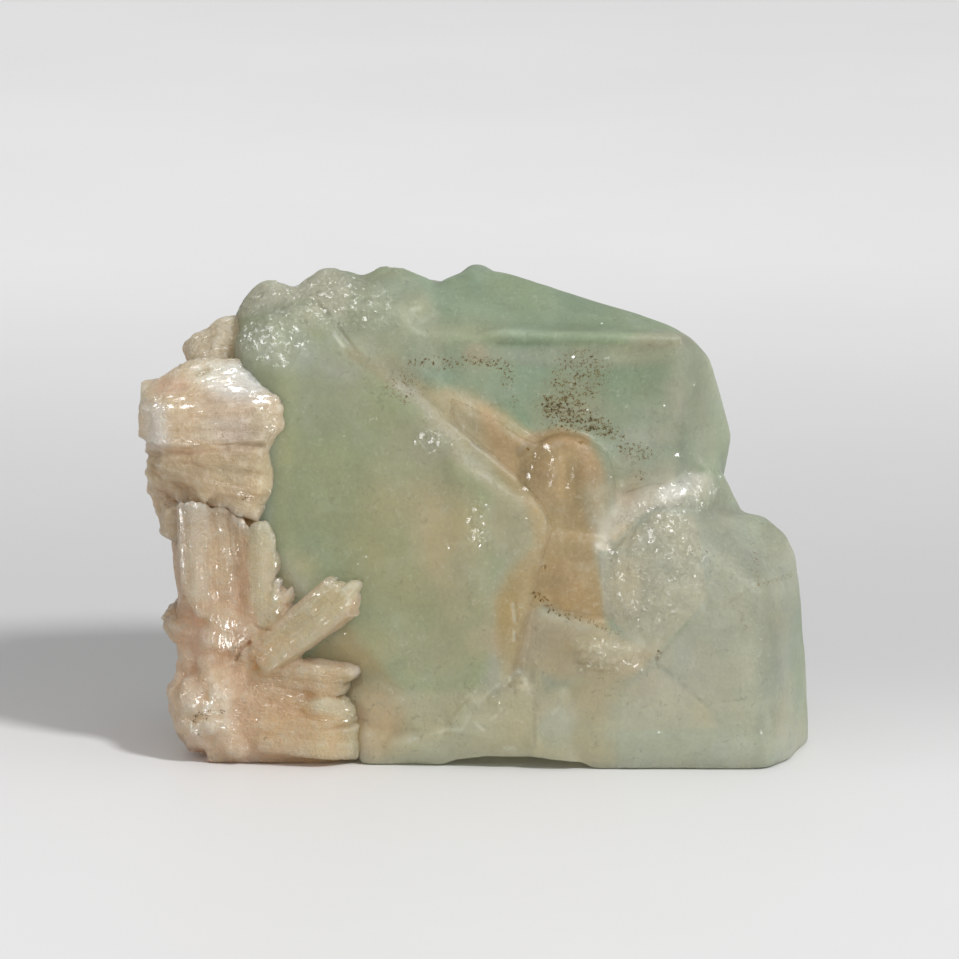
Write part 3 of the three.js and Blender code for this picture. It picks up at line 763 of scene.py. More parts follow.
def stilbite_material(name, transmission):
    """Fibrous, pearly stilbite. The attribute grain runs across, along and through its blades."""
    s = Shader(name)
    place = s.millimetres()
    tint = s.attribute("tint")
    speck, granular, glint = s.split(s.attribute("mark"))
    across, along, through = s.split(s.attribute("grain"))

    # fibres, clouds, blotches and grain, each a little lighter or darker
    fibrous = s.minus(1.0, granular)
    fibre = s.node("ShaderNodeCombineXYZ", {
        0: s.times(across, 1 / FIBRE_WIDTH), 1: s.times(along, 1 / FIBRE_LENGTH),
        2: s.times(through, 0.5 / FIBRE_WIDTH)}).outputs[0]
    thin = s.noise(fibre, 1.0, detail=3, roughness=0.65)
    cloud = s.noise(place, 0.3, detail=3)
    blotch = s.noise(place, 1.0, detail=3, roughness=0.65)
    grain = s.noise(place, 3.4, detail=2, roughness=0.7)
    shade = s.plus(s.swing(cloud, 0.05), s.swing(blotch, 0.05))
    shade = s.plus(s.plus(shade, s.times(s.swing(thin, 0.04), fibrous)), s.swing(grain, 0.05, 1.0))
    colour = s.vector("SCALE", tint, scale=shade)

    # silky threads and pearly frost, part the stilbite's own pale fibres and part painted sheen, and specks
    silk = s.times(s.fit(thin, 0.6, 0.74), s.times(fibrous, 0.12))
    frost = s.times(s.fit(blotch, 0.5, 0.68), 0.32)
    colour = s.mix(s.most(silk, frost), colour, rgba(SILK_AND_SHEEN_WHITE))
    colour = specked(s, colour, place, speck, 3.2)

    # a fibrous, grainy surface, with flashes, sparks and streaks of gloss
    relief = s.plus(s.times(thin, s.times(fibrous, 0.6)), grain)
    normal = s.bump(s.plus(relief, blotch), 0.24, 1.0)
    lustre = s.plus(s.times(thin, 0.6), s.times(grain, 0.4))
    wander = s.wandering(place, WANDER_SCALE)
    sparks = s.sparks(s.shifted(place, wander, 1.0), 0.26, s.plus(0.012, s.times(granular, 0.014)))
    flash = s.most(flashes(s, lustre, glint), sparks)
    flat = s.node("ShaderNodeCombineXYZ", {0: across, 1: s.times(along, 0.35), 2: through}).outputs[0]
    streak = s.above(thin, s.minus(0.66, s.times(glint, 0.08)))
    glitter = s.plus(0.35, s.times(granular, 0.4))
    gloss = s.split(s.attribute("soft"))[1]
    face, coat = s.coat(normal, wander, flat, flash, streak, glitter, s.plus(0.06, gloss), shine=1.8)
    return s.surface({
        "Base Color": colour, "Roughness": 0.42, "Normal": normal,
        "IOR": STILBITE_IOR, "Specular IOR Level": 0.5, "Transmission Weight": transmission,
        "Subsurface Weight": 0.8, "Subsurface Radius": (1.0, 0.85, 0.7), "Subsurface Scale": 7 * MM,
        "Coat Weight": coat, "Coat Roughness": COAT_ROUGHNESS, "Coat IOR": COAT_IOR, "Coat Normal": face,
    })


# ---- Apophyllite -------------------------------------------------------------------------------
SEA = (138, 153, 129)
DEEP_SEA = (129, 146, 120)
PALE_SEA = (147, 157, 135)
MOSS = (146, 152, 120)
OLIVE = (162, 157, 126)
GREY = (160, 163, 142)
SILVER = (165, 169, 152)
CLEAR = (160, 161, 144)
CRINKLED = (171, 167, 146)
BROWNISH = (160, 148, 120)
AMBER = (178, 148, 104)
WARM = (169, 146, 104)
OLIVE_IN_PAINTED_SHADE = (145, 132, 95)
DRAB = (150, 152, 128)
FROSTED = (200, 204, 188)
PALE_LINE = (206, 206, 190)
DARK_LINE = (110, 104, 78)

APOPHYLLITE_ZONES = [
    # the rear crystal
    (area([(375, 262), (470, 255), (600, 290), (690, 325), (735, 430), (720, 490), (640, 480), (545, 445),
        (430, 392), (372, 330)], 10), SEA, 1.0),
    (oval((560, 305), (120, 38), 12), DEEP_SEA, 0.55),
    (oval((636, 378), (66, 34), -10), DEEP_SEA, 0.9),
    (oval((700, 400), (42, 90), -14), GREY, 0.8),
    (oval((655, 450), (70, 34)), GREY, 0.85),
    (oval((465, 345), (60, 40)), DRAB, 0.5),
    (oval((574, 398), (48, 36), 10), (148, 147, 118), 0.6),
    (area([(478, 350), (540, 346), (604, 346), (684, 338), (694, 346), (676, 362), (604, 367), (520, 364),
        (486, 360)], 4), (156, 159, 139), 0.8),
    (oval((662, 340), (40, 12)), (157, 151, 133), 0.6),
    (oval((476, 353), (18, 13)), (165, 152, 132), 0.6),
    # the middle crystal and the lumps along the top left
    (area([(318, 290), (395, 268), (432, 292), (446, 340), (440, 395), (400, 400), (345, 345)], 10),
        (152, 156, 132), 0.9),
    (oval((392, 384), (42, 34), 30), (148, 141, 112), 0.8),
    (oval((405, 410), (44, 20), 42), (150, 146, 118), 0.6),
    (area([(235, 285), (330, 262), (352, 280), (345, 318), (300, 312), (235, 330)], 6), (174, 172, 153),
        0.95),
    (oval((395, 288), (30, 18)), (155, 163, 141), 0.8),
    # the front crystal
    (area([(235, 318), (310, 300), (345, 340), (520, 480), (546, 520), (545, 545), (505, 600), (470, 725),
        (380, 680), (270, 540), (276, 440)], 8), MOSS, 1.0),
    (oval((280, 345), (58, 34), 15), SILVER, 0.8),
    (oval((345, 355), (40, 38), 40), (156, 160, 139), 0.8),
    (oval((300, 316), (44, 18), 10), (164, 166, 147), 0.8),
    (oval((400, 470), (60, 70), 30), (157, 158, 128), 0.7),
    (oval((452, 540), (52, 110), -18), OLIVE, 0.95),
    (oval((440, 440), (34, 26), 40), (150, 150, 124), 0.7),
    (oval((512, 525), (34, 52)), (160, 154, 127), 0.9),
    # darker runs along the rounded ridge crests and the amber band's edge: painted shade that hides the
    # light these crests catch, over the crystal's own olive
    (run([(395, 372), (440, 420), (500, 470), (538, 505)], 16), (150, 148, 120), 0.6),
    (run([(352, 352), (400, 386), (440, 414)], 9), (144, 138, 111), 0.7),
    (run([(434, 412), (472, 448), (503, 478), (525, 492), (543, 513), (545, 530)], 10), (140, 135, 107),
        0.8),
    (run([(446, 394), (490, 413), (534, 438)], 8), (138, 132, 100), 0.8),
    (run([(462, 455), (500, 486), (530, 514), (532, 545), (512, 575), (497, 600), (490, 640)], 17),
        (160, 154, 127), 0.75),
    (oval((400, 625), (60, 62), 35), MOSS, 0.8),
    (oval((455, 640), (34, 60), 10), (160, 156, 126), 0.6),
    (oval((330, 475), (50, 90)), (146, 152, 119), 0.8),
    # amber seen through the crystal beside the stilbite
    (area([(418, 383), (470, 392), (505, 412), (536, 444), (524, 470), (534, 500), (505, 490), (462, 446),
        (428, 412)], 11), (166, 150, 113), 0.85),
    (area([(478, 402), (508, 416), (538, 446), (526, 472), (538, 508), (512, 488), (486, 446)], 9), AMBER,
        0.8),
    (area([(520, 444), (530, 436), (560, 430), (586, 436), (600, 462), (606, 500), (600, 540), (596, 548),
        (604, 590), (606, 628), (580, 622), (545, 604), (530, 612), (518, 650), (500, 655), (497, 600),
        (520, 560), (536, 545), (530, 510), (520, 490)], 8), WARM, 1.0),
    (oval((560, 500), (44, 60)), (167, 145, 104), 0.8),
    (oval((596, 500), (18, 44)), (164, 154, 126), 0.75),
    (run([(520, 452), (534, 438), (560, 431), (586, 440)], 7), (146, 122, 84), 0.55),
    (oval((566, 582), (36, 36)), (174, 147, 104), 0.8),
    (area([(500, 588), (532, 596), (540, 640), (528, 688), (506, 690), (497, 640)], 9), (164, 146, 106),
        0.9),
    (oval((508, 605), (14, 44), 6), (160, 139, 93), 0.8),
    (oval((556, 650), (26, 32)), (170, 159, 134), 0.7),
    (oval((648, 486), (62, 26), -26), (172, 166, 144), 0.75),
    # the pearly plate: its own pale colour, with painted highlights on it and on the hooked edge below it,
    # where they mirror the key light
    (area([(596, 520), (640, 490), (690, 472), (706, 480), (698, 502), (650, 514), (618, 544),
        (598, 548)], 9), (196, 187, 164), 0.9),
    (oval((676, 490), (32, 13), -24), (220, 217, 202), 0.9),
    (oval((606, 548), (15, 5), 15), (208, 198, 178), 0.9),
    # the foot
    (area([(390, 690), (480, 690), (535, 660), (548, 690), (620, 672), (620, 770), (385, 770)], 8),
        (165, 160, 135), 0.9),
    (area([(528, 612), (600, 628), (660, 650), (655, 676), (560, 680), (520, 660)], 7), (171, 160, 134),
        0.9),
    (oval((604, 698), (42, 38)), (168, 157, 132), 0.7),
    (oval((556, 728), (24, 28)), (162, 165, 148), 0.7),
    # the recess between the rosette's prism and the front crystal: olive darkened with painted shade
    (area([(312, 655), (345, 622), (402, 690), (372, 706), (330, 690)], 7), OLIVE_IN_PAINTED_SHADE, 0.8),
    # paler peach-olive beside the end of the low spray, partly its own colour and partly painted light that
    # lifts the shade there
    (oval((376, 722), (44, 54)), (180, 163, 133), 0.9),
    # the clear block
    (area([(612, 545), (655, 505), (745, 508), (800, 550), (812, 745), (770, 772), (616, 772), (622, 690),
        (655, 655), (690, 622)], 5), CLEAR, 1.0),
    (area([(600, 556), (616, 545), (655, 512), (694, 516), (702, 556), (706, 600), (686, 622), (655, 655),
        (632, 640), (604, 612)], 2), CRINKLED, 0.95),
    (area([(707, 606), (757, 587), (796, 572), (800, 640), (806, 735), (742, 735), (700, 700),
        (660, 662)], 2), (161, 161, 143), 0.8),
    (oval((622, 725), (24, 60)), (164, 163, 143), 0.6),
    # painted shade: against the light on the block's right ridge and the rear crystal's right edge, and
    # under the rear crystal's ledge
    (run([(706, 520), (756, 585), (767, 640), (768, 770)], 15), (150, 152, 134), 0.8),
    (run([(694, 350), (690, 420), (684, 480)], 13), (140, 149, 126), 0.6),
    (run([(500, 362), (600, 367), (680, 362)], 5), (142, 148, 126), 0.6),
    (area([(656, 668), (706, 704), (720, 728), (620, 732), (622, 690)], 2), (170, 167, 147), 0.8),
    (area([(620, 731), (742, 729), (790, 742), (770, 772), (616, 772)], 3), (162, 166, 148), 0.8),
    (oval((806, 660), (22, 100)), (147, 157, 134), 0.8),
    (oval((760, 530), (42, 26), 30), (160, 166, 147), 0.7),
    # more of the painted highlight on the pearly plate
    (oval((690, 492), (40, 22), -20), (184, 182, 166), 0.8),
]

# where the crystal is lighter, darker, warmer or cooler than the colours above, some of it painted light and
# painted shade as marked: (mask, factor)
APOPHYLLITE_TONES = [
    (oval((405, 545), (85, 95)), (1.13, 1.0, 0.93)),
    (oval((330, 395), (62, 50), 20), (1.09, 1.05, 1.14)),
    (oval((262, 350), (30, 26)), (1.12, 1.1, 1.1)),
    # painted light that lifts the shade in the notch beside the rosette's prism
    (oval((300, 580), (34, 44)), (1.22, 1.12, 1.1)),
    (oval((292, 578), (26, 36)), (1.2, 1.14, 1.14)),
    (oval((365, 645), (40, 34)), (1.15, 1.06, 1.02)),
    (oval((415, 655), (50, 40)), (1.1, 1.02, 1.04)),
    (oval((575, 425), (80, 34)), (1.15, 1.04, 1.02)),
    (oval((662, 400), (34, 36)), (1.14, 1.05, 1.1)),
    # painted shade on the rounded ridges and the block's upper right corner, against the light they catch
    (run([(692, 350), (694, 420), (690, 470)], 22), (0.88, 0.87, 0.91)),
    (run([(757, 565), (768, 640), (768, 770)], 20), (0.88, 0.89, 0.9)),
    (oval((776, 536), (24, 26)), (0.87, 0.84, 0.81)),
    (run([(498, 341), (560, 341), (686, 343)], 7), (0.88, 0.88, 0.86)),
    (run([(430, 409), (469, 448), (500, 479), (523, 491)], 13), (0.84, 0.87, 0.83)),
    (oval((512, 418), (26, 20), 35), (0.84, 0.93, 0.9)),
    (oval((518, 427), (20, 18)), (0.86, 0.95, 0.93)),
    (oval((650, 425), (42, 30)), (1.12, 1.06, 1.12)),
    (oval((425, 440), (46, 36)), (1.1, 1.03, 1.08)),
    (oval((482, 643), (24, 26)), (1.22, 1.12, 1.16)),
    (oval((626, 535), (20, 18)), (1.14, 1.07, 1.0)),
    (oval((624, 590), (24, 42)), (1.13, 1.06, 1.01)),
    (oval((554, 607), (24, 22)), (1.12, 1.1, 1.04)),
    (oval((735, 750), (32, 20)), (1.1, 1.08, 1.12)),
    (oval((556, 715), (36, 28)), (1.06, 1.06, 1.14)),
    # a painted highlight on the pearly plate, and painted shade just right of it
    (oval((676, 492), (20, 9), -24), (1.26, 1.26, 1.3)),
    (oval((704, 506), (16, 14)), (0.87, 0.87, 0.83)),
    (run([(282, 330), (288, 390), (283, 450), (277, 510), (286, 545)], 16), (1.14, 1.12, 1.07)),
    # painted light over a shaded band on the dome
    (run([(568, 458), (566, 500)], 13), (1.14, 1.11, 1.09)),
    (oval((436, 378), (20, 16)), (0.85, 0.94, 0.94)),
    (oval((546, 482), (20, 34)), (1.16, 1.13, 1.18)),
    (oval((592, 465), (22, 30)), (0.95, 0.85, 0.78)),
    (oval((624, 478), (24, 38)), (1.08, 0.93, 0.84)),
    (oval((672, 675), (70, 50)), (1.12, 1.08, 1.1)),
    (oval((508, 675), (30, 30)), (0.94, 0.92, 0.92)),
    # painted light that lifts the shade beside the end of the low spray
    (oval((374, 728), (26, 46)), (1.2, 1.12, 1.07)),
    (oval((518, 622), (22, 44)), (1.0, 0.94, 0.88)),
]

# pale hairline cracks and facet edges: (mask, strength)
PALE_LINES = [
    (run([(408, 741), (432, 733), (450, 729), (462, 730), (472, 712), (482, 700), (500, 684)], 2.6), 0.8),
    (run([(492, 720), (506, 704), (519, 676), (526, 680), (531, 691)], 2.6), 0.8),
    (run([(512, 678), (519, 672), (528, 682)], 5), 0.9),
    (run([(450, 716), (464, 700), (478, 690)], 2.4), 0.5),
    (run([(553, 714), (562, 703)], 2.4), 0.7),
    (run([(536, 742), (544, 732), (552, 722)], 6), 0.35),
    (run([(560, 722), (574, 716)], 4), 0.4),
    (run([(505, 748), (515, 748)], 3), 0.8),
    (run([(476, 722), (484, 730)], 3), 0.8),
    (run([(540, 505), (545, 520), (543, 535)], 2.4), 0.6),
    (run([(310, 302), (324, 318), (345, 346)], 3), 1.0),
    (run([(513, 604), (515, 625), (514, 640)], 2.6), 0.8),
]
DARK_LINES = [
    (run([(424, 514), (423, 540)], 2.0), 0.5),
    (run([(489, 594), (487, 602)], 2.2), 0.9),
    (run([(534, 680), (535, 748)], 2.4), 0.35),
    (run([(318, 302), (338, 326), (356, 352)], 3), 0.9),
    (run([(707, 605), (684, 626), (657, 660)], 2.4), 0.35),
    (run([(657, 663), (682, 684), (706, 706)], 2.6), 0.4),
    (run([(709, 614), (757, 586), (792, 574)], 2.4), 0.3),
    (run([(391, 593), (399, 597)], 2.2), 0.6),
    (run([(690, 385), (705, 402), (722, 430)], 2.4), 0.2),
    (run([(656, 658), (658, 668)], 2.4), 0.9),
]
SPECK_ZONES = [
    (oval((578, 375), (42, 38)), 0.58),
    (oval((556, 408), (24, 22)), 1.05),
    (oval((566, 412), (40, 28), 15), 0.82),
    (oval((600, 426), (34, 13), 22), 0.95),
    (oval((580, 425), (30, 14), 10), 0.8),
    (run([(412, 361), (452, 364), (480, 358), (505, 366), (508, 380)], 10), 0.58),
    (oval((506, 382), (10, 12)), 0.62),
    (oval((514, 405), (6, 16)), 0.4),
    (oval((411, 381), (7, 6)), 0.9),
    (oval((404, 388), (28, 22), 30), 0.5),
    (oval((636, 452), (30, 14), 20), 0.55),
    (oval((642, 475), (12, 8)), 0.5),
    (run([(751, 532), (758, 572), (757, 588)], 5), 0.25),
    (run([(758, 586), (792, 574)], 5), 0.3),
    (oval((658, 655), (4, 9)), 0.9),
    (oval((612, 632), (14, 5), 10), 0.6),
    (oval((318, 296), (8, 5), -40), 0.6),
    (oval((528, 449), (3, 3)), 1.2),
    (oval((582, 443), (6, 3)), 1.0),
    (run([(536, 594), (546, 602), (554, 612)], 6), 0.8),
    (run([(554, 612), (590, 622), (604, 628)], 5), 0.5),
    (oval((543, 568), (8, 5)), 0.6),
    (oval((700, 552), (20, 14)), 0.25),
]
PEARLY_PLATE = area([(612, 520), (640, 496), (692, 470), (706, 500), (650, 520), (626, 552)], 6)
GLITTER_ZONES = [
    (oval((276, 344), (54, 30), 10), 1.0),
    (oval((430, 440), (20, 14)), 1.0),
    (oval((480, 525), (14, 34)), 0.8),
    (area([(606, 560), (655, 514), (694, 518), (706, 560), (690, 600), (655, 640), (610, 612)], 10), 0.62),
    (oval((665, 530), (46, 20), -20), 0.9),
    (oval((745, 545), (44, 40)), 0.4),
    (area([(574, 640), (640, 642), (640, 676), (578, 676)], 6), 0.6),
    (oval((500, 700), (70, 40)), 0.35),
    (oval((705, 495), (26, 22)), 0.8),
    (PEARLY_PLATE, 0.4),
    (oval((545, 470), (28, 34)), 0.15),
    (area([(238, 285), (335, 262), (400, 290), (400, 330), (300, 330), (238, 320)], 8), 0.72),
]
GLINT_ZONES = [
    (oval((248, 336), (9, 13), 20), 1.0),
    (oval((297, 331), (7, 9)), 0.9),
    (oval((270, 345), (44, 24), 12), 0.72),
    (oval((335, 300), (50, 26), 10), 0.5),
    (oval((252, 325), (10, 3), -25), 1.0),
    (oval((573, 355), (5, 5)), 1.3),
    (oval((583, 357), (3, 2.5)), 1.2),
    (oval((608, 358), (5, 2.5)), 1.1),
    (oval((676, 455), (6, 3)), 1.5),
    (oval((665, 406), (3.5, 3.5)), 1.2),
    (oval((438, 430), (3, 8), -35), 1.2),
    (oval((430, 442), (18, 12)), 0.5),
    (oval((480, 545), (6, 8)), 1.1),
    (oval((476, 520), (16, 28)), 0.4),
    (oval((461, 600), (3, 3)), 1.4),
    (oval((384, 428), (3, 3)), 1.3),
    (oval((373, 419), (5, 7)), 0.8),
    (run([(585, 646), (600, 643), (622, 644)], 3.5), 0.9),
    (area([(578, 640), (640, 642), (640, 672), (584, 672)], 5), 0.25),
    (oval((690, 486), (40, 18), -22), 0.55),
    (oval((704, 478), (9, 6)), 1.0),
    (oval((665, 525), (40, 16), -30), 0.5),
    (run([(536, 447), (532, 462), (529, 478)], 3.5), 1.0),
    (run([(546, 446), (552, 460), (550, 484)], 4), 0.95),
    (run([(573, 470), (569, 486)], 3), 0.95),
    (oval((525, 490), (5, 4)), 1.0),
    (oval((678, 492), (22, 8), -24), 1.2),
    (oval((660, 500), (42, 14), -24), 0.7),
    (oval((606, 549), (14, 4), 18), 0.8),
    (oval((528, 683), (5, 4)), 1.2),
    (oval((761, 733), (3.5, 4)), 1.2),
    (oval((766, 745), (4, 3)), 1.2),
    (oval((657, 731), (5, 2.5)), 1.2),
    (oval((511, 748), (5, 2.5)), 1.0),
    (oval((712, 342), (6, 3)), 0.9),
    (oval((330, 286), (4, 3)), 0.9),
    (oval((340, 300), (16, 8)), 0.45),
]

# where the ground is broken: the mask, then layers as (pattern, height, size in mm, seed)
BROKEN_GROUND = [
    # the lumps along the top left
    (area([(235, 262), (400, 255), (420, 300), (300, 335), (235, 330)], 12),
        (facets, 0.34, 1.9, 35), (noise, 0.15, 1.6, 36)),
    # the clear block's crinkled facet and what is above it
    (area([(600, 556), (655, 512), (694, 516), (704, 600), (655, 655), (604, 612)], 6),
        (facets, 0.2, 1.2, 40), (noise, 0.07, 0.8, 8)),
    (oval((745, 545), (60, 50)), (facets, 0.09, 1.6, 60), (noise, 0.06, 2.0, 10)),
    (PEARLY_PLATE, (facets, 0.08, 1.4, 303), (noise, 0.03, 0.8, 304)),
]
FOLDED_BAND = area([(574, 640), (640, 642), (640, 676), (578, 676)], 6)
AMBER_DOME = area([(522, 446), (560, 432), (590, 440), (604, 480), (600, 540), (604, 625), (560, 612),
                   (540, 540), (522, 490)], 7)
PIT = oval((707, 603), (7, 9))
# the depth of the hairlines and of the small pit
LINE_DEPTH = 0.12
# the edges are chipped most from between these heights
TOP = (38.0, 42.0)
# the growth steps of the sides and back
STEP_RISE = 2.4
STEP_DEPTH = 0.3


def edge_wear(skin):
    """How much the edges are worn and chipped away, most of all along the top."""
    p = skin.points
    worn = smooth(0.04, 0.25, skin.edge) * (0.12 + 0.2 * noise(p, 1.6, 4))
    crest = smooth(0.02, 0.2, skin.edge) * smooth(*TOP, p[:, 2])
    return worn + crest * (0.1 + layered(p, (noise, 0.3, 2.4, 16), (noise, 0.16, 1.0, 17)))


def unseen_relief(skin):
    """Growth steps, each crystal with its own slope, with facets and upright ribs, on the sides and back."""
    p = skin.points
    _, label = cells(p, 13.0, 20)
    slope = p @ np.array([0.18, 0.12, 0.97]) + 3.0 * (label - 0.5) * p[:, 0] / 10
    level = slope / STEP_RISE + 0.35 * noise(p, 5.0, 6)
    past = level - np.floor(level)
    steps = past - smooth(0.86, 1.0, past) - 0.4
    lift = STEP_DEPTH * steps * smooth(-0.1, 0.5, noise(p, 9.0, 7))
    upright = 1 - smooth(0.5, 0.8, np.abs(skin.normals[:, 2]))
    ribs = 0.07 * upright * noise(p * np.array([1.1, 1.1, 0.08]), 1.0, 15)
    return skin.back * (lift + ribs + layered(p, (facets, 0.26, 2.8, 30), (facets, 0.1, 1.2, 31)))


def line_strength(skin):
    """The hairlines come and go along their length."""
    return smooth(-0.5, 0.4, noise(skin.points, 1.1, 11))


def apophyllite_relief(skin):
    """Gentle waves, what is worn, stepped or broken, and hairlines."""
    p = skin.points
    lift = 0.12 + layered(p, (noise, 0.12, 8.0, 1), (noise, 0.06, 3.2, 2)) + 0.022 * fractal(p, 1.3, 2, 3)
    lift += unseen_relief(skin) - edge_wear(skin)
    for mask, *layers in BROKEN_GROUND:
        lift += skin.within(mask) * layered(p, *layers)
    lift += strongest(skin, GLITTER_ZONES[:3]) * layered(p, (facets, 0.2, 1.0, 50))
    lift += skin.within(FOLDED_BAND) * 0.12 * noise(p * np.array([0.35, 0.5, 2.4]), 1.0, 9)
    # the dome and the block of the amber stilbite stand a little proud
    lift += skin.within(AMBER_DOME) * (0.14 + 0.03 * noise(p * np.array([1.6, 1.0, 0.4]), 1.0, 305))
    lines = sum(skin.within(mask) * strength for mask, strength in PALE_LINES + DARK_LINES)
    return lift - LINE_DEPTH * (lines * line_strength(skin) + skin.within(PIT))


def apophyllite_tint(skin):
    """The zones and tones over a patchy base, with hairlines, frosted edges, painted shade of the small
    relief and a faint cleavage; some zones and tones are painted highlights, painted light and painted
    shade.
    """
    p = skin.points
    base = mottled(skin, PALE_SEA, CLEAR, 15.0, 70, reach=0.5)
    base = blend(base, linear(BROWNISH), 0.55 * smooth(0.3, 0.9, fractal(p, 11.0, 3, 80)))
    tint = toned(painted(base, skin, APOPHYLLITE_ZONES), skin, APOPHYLLITE_TONES)
    for lines, colour, share in ((PALE_LINES, PALE_LINE, 0.45), (DARK_LINES, DARK_LINE, 0.5)):
        share = share * line_strength(skin)
        tint = painted(tint, skin, [(mask, colour, strength * share) for mask, strength in lines])
    worn = smooth(0.05, 0.3, skin.edge) * skin.back * (0.4 + 0.4 * noise(p, 2.0, 14))
    tint = blend(tint, linear(FROSTED), worn)
    warmth = 0.05 * noise(p, 5.5, 12) + 0.03 * noise(p, 2.2, 13)
    tint = tint * (1 + warmth[:, None] * np.array([1.0, 0.2, -0.8]))
    # painted shade of the small relief: lighter on its bumps and darker in its hollows; then a faint
    # cleavage
    bend = np.clip(skin.texture / 0.16, -1, 1)
    cleavage = noise(p * np.array([0.25, 0.25, 2.0]), 1.0, 18)
    return tint * (1 + 0.13 * bend + 0.03 * cleavage)[:, None]


# ---- Stilbite ----------------------------------------------------------------------------------
TAN = (190, 170, 142)
# PEARL is the painted highlight on the sheaf's crown
PEARL = (212, 205, 190)
PINK = (198, 168, 142)
PEACH = (184, 157, 127)
BEIGE = (178, 164, 140)
OLIVE_TAN = (184, 170, 141)
GREY_PINK = (193, 172, 150)

# the upper and lower plates of the sheaf: the hinge [x, z] that each fans out from, and the radius at
# which its fibres keep their width
UPPER_HINGE = np.array([-52.15, 36.4])
LOWER_HINGE = np.array([-38.65, 33.9])
UPPER_RADIUS = 24.0
LOWER_RADIUS = 11.0
# the slope of the line where they meet, and what sets their fibres apart
PLATES_MEET = 0.085
FAN_SHIFT = 40.0


def fan(points, hinge, radius):
    """Fibre coordinates that spread from a hinge [x, z]: across, along and through."""
    x = points[:, 0] - hinge[0]
    z = points[:, 2] - hinge[1]
    return np.stack([np.arctan2(z, x) * radius, np.hypot(x, z), points[:, 1]], 1)


def sheaf_grain(points):
    """The sheaf's fibre coordinates."""
    meet = UPPER_HINGE[1] - PLATES_MEET * (points[:, 0] - UPPER_HINGE[0])
    upper = (points[:, 2] > meet)[:, None]
    return np.where(upper, fan(points, UPPER_HINGE, UPPER_RADIUS),
                    fan(points, LOWER_HINGE, LOWER_RADIUS) + FAN_SHIFT)


SHEAF_ZONES = [
    (area([(135, 370), (200, 352), (285, 385), (285, 452), (140, 452)], 6), TAN, 1.0),
    (area([(142, 400), (165, 405), (170, 448), (148, 448)], 6), (196, 186, 170), 0.7),
    # painted highlight on the crown, where it mirrors the key light
    (oval((232, 380), (54, 28), 12), PEARL, 0.9),
    (oval((170, 385), (26, 14)), (186, 158, 134), 0.8),
    (oval((228, 430), (50, 20)), (190, 176, 154), 0.8),
    (oval((262, 425), (18, 30)), (178, 166, 136), 0.7),
    (area([(148, 452), (278, 456), (272, 515), (180, 500), (150, 530)], 5), (177, 157, 127), 1.0),
    (oval((205, 460), (50, 8)), (172, 148, 116), 0.8),
    (area([(150, 470), (178, 500), (180, 560), (150, 540)], 6), (174, 153, 127), 1.0),
    (area([(182, 340), (240, 312), (250, 360), (190, 362)], 5), BEIGE, 1.0),
    (oval((203, 372), (14, 6), -20), (168, 158, 132), 0.8),
]
# where the sheaf is lighter or darker than its zones: painted shade on the crown and body, which face the
# key light, painted light on the left end, which faces away, and a lighter lower fan: (mask, factor)
SHEAF_TONES = [
    (oval((246, 410), (58, 54)), (0.8, 0.8, 0.85)),
    (oval((156, 425), (22, 40)), (1.1, 1.14, 1.24)),
    (oval((242, 464), (50, 26)), (0.84, 0.87, 0.85)),
    (oval((195, 500), (56, 26)), (1.12, 1.1, 1.08)),
]
SHEAF_GLINTS = [
    (oval((236, 380), (50, 20), 14), 0.9),
    (oval((238, 372), (28, 11), -8), 1.1),
    (oval((260, 399), (26, 11), 22), 1.1),
    (oval((178, 404), (32, 11), 14), 0.9),
    (oval((157, 405), (7, 7)), 1.1),
    (oval((200, 364), (20, 6), -15), 0.7),
    (oval((150, 418), (9, 16)), 0.5),
    (oval((185, 442), (40, 7)), 0.5),
    (oval((272, 425), (9, 26)), 0.55),
    (run([(208, 487), (240, 494), (264, 502)], 5), 0.6),
    (run([(205, 480), (230, 486)], 4), 0.6),
    (oval((268, 500), (8, 20)), 0.5),
    (oval((230, 345), (60, 30)), 0.25),
]
SHEAF_SPECKS = [
    (oval((223, 436), (4, 3)), 0.8),
    (oval((245, 498), (4, 3)), 1.0),
    (oval((231, 511), (4, 3)), 1.0),
    (oval((203, 322), (6, 4)), 0.4),
]
SHEAF_CROWN = oval((215, 378), (80, 30), 8)
SHEAF_LIP = run([(205, 506), (264, 508)], 10)
SHEAF_SEAM = run([(150, 455), (200, 449), (262, 446)], 6)
# the lump begins between these heights, and the left side between these places from left to right
LUMP = (40.5, 43.0)
LEFT_SIDE = (-33.5, -30.0)


def sheaf_relief(skin):
    """Stacked plates with fibres, rubble on the lump above them and on the left side, and chipped edges."""
    p = skin.points
    grain = sheaf_grain(p)
    _, plate = cells(grain * np.array([1.0, 0.06, 0.3]), 1.3, 115)
    lift = 0.12 + layered(p, (noise, 0.14, 3.5, 101), (facets, 0.16, 2.3, 109), (facets, 0.1, 1.1, 111))
    lift += 0.26 * (plate - 0.5) + 0.08 * noise(grain * np.array([1 / 0.5, 1 / 5.0, 1 / 1.6]), 1.0, 102)
    lift += smooth(*LUMP, p[:, 2]) * layered(p, (facets, 0.3, 1.8, 110), (noise, 0.12, 1.1, 112))
    lift += (1 - smooth(*LEFT_SIDE, p[:, 0])) * layered(p, (facets, 0.2, 1.6, 113), (noise, 0.12, 1.0, 114))
    lift += skin.within(SHEAF_CROWN) * layered(p, (facets, 0.14, 1.3, 105), (noise, 0.06, 0.8, 106))
    lift -= smooth(0.04, 0.25, skin.edge) * (0.1 + 0.22 * noise(p, 1.2, 104))
    return lift + 0.5 * skin.within(SHEAF_LIP) - 0.3 * skin.within(SHEAF_SEAM)


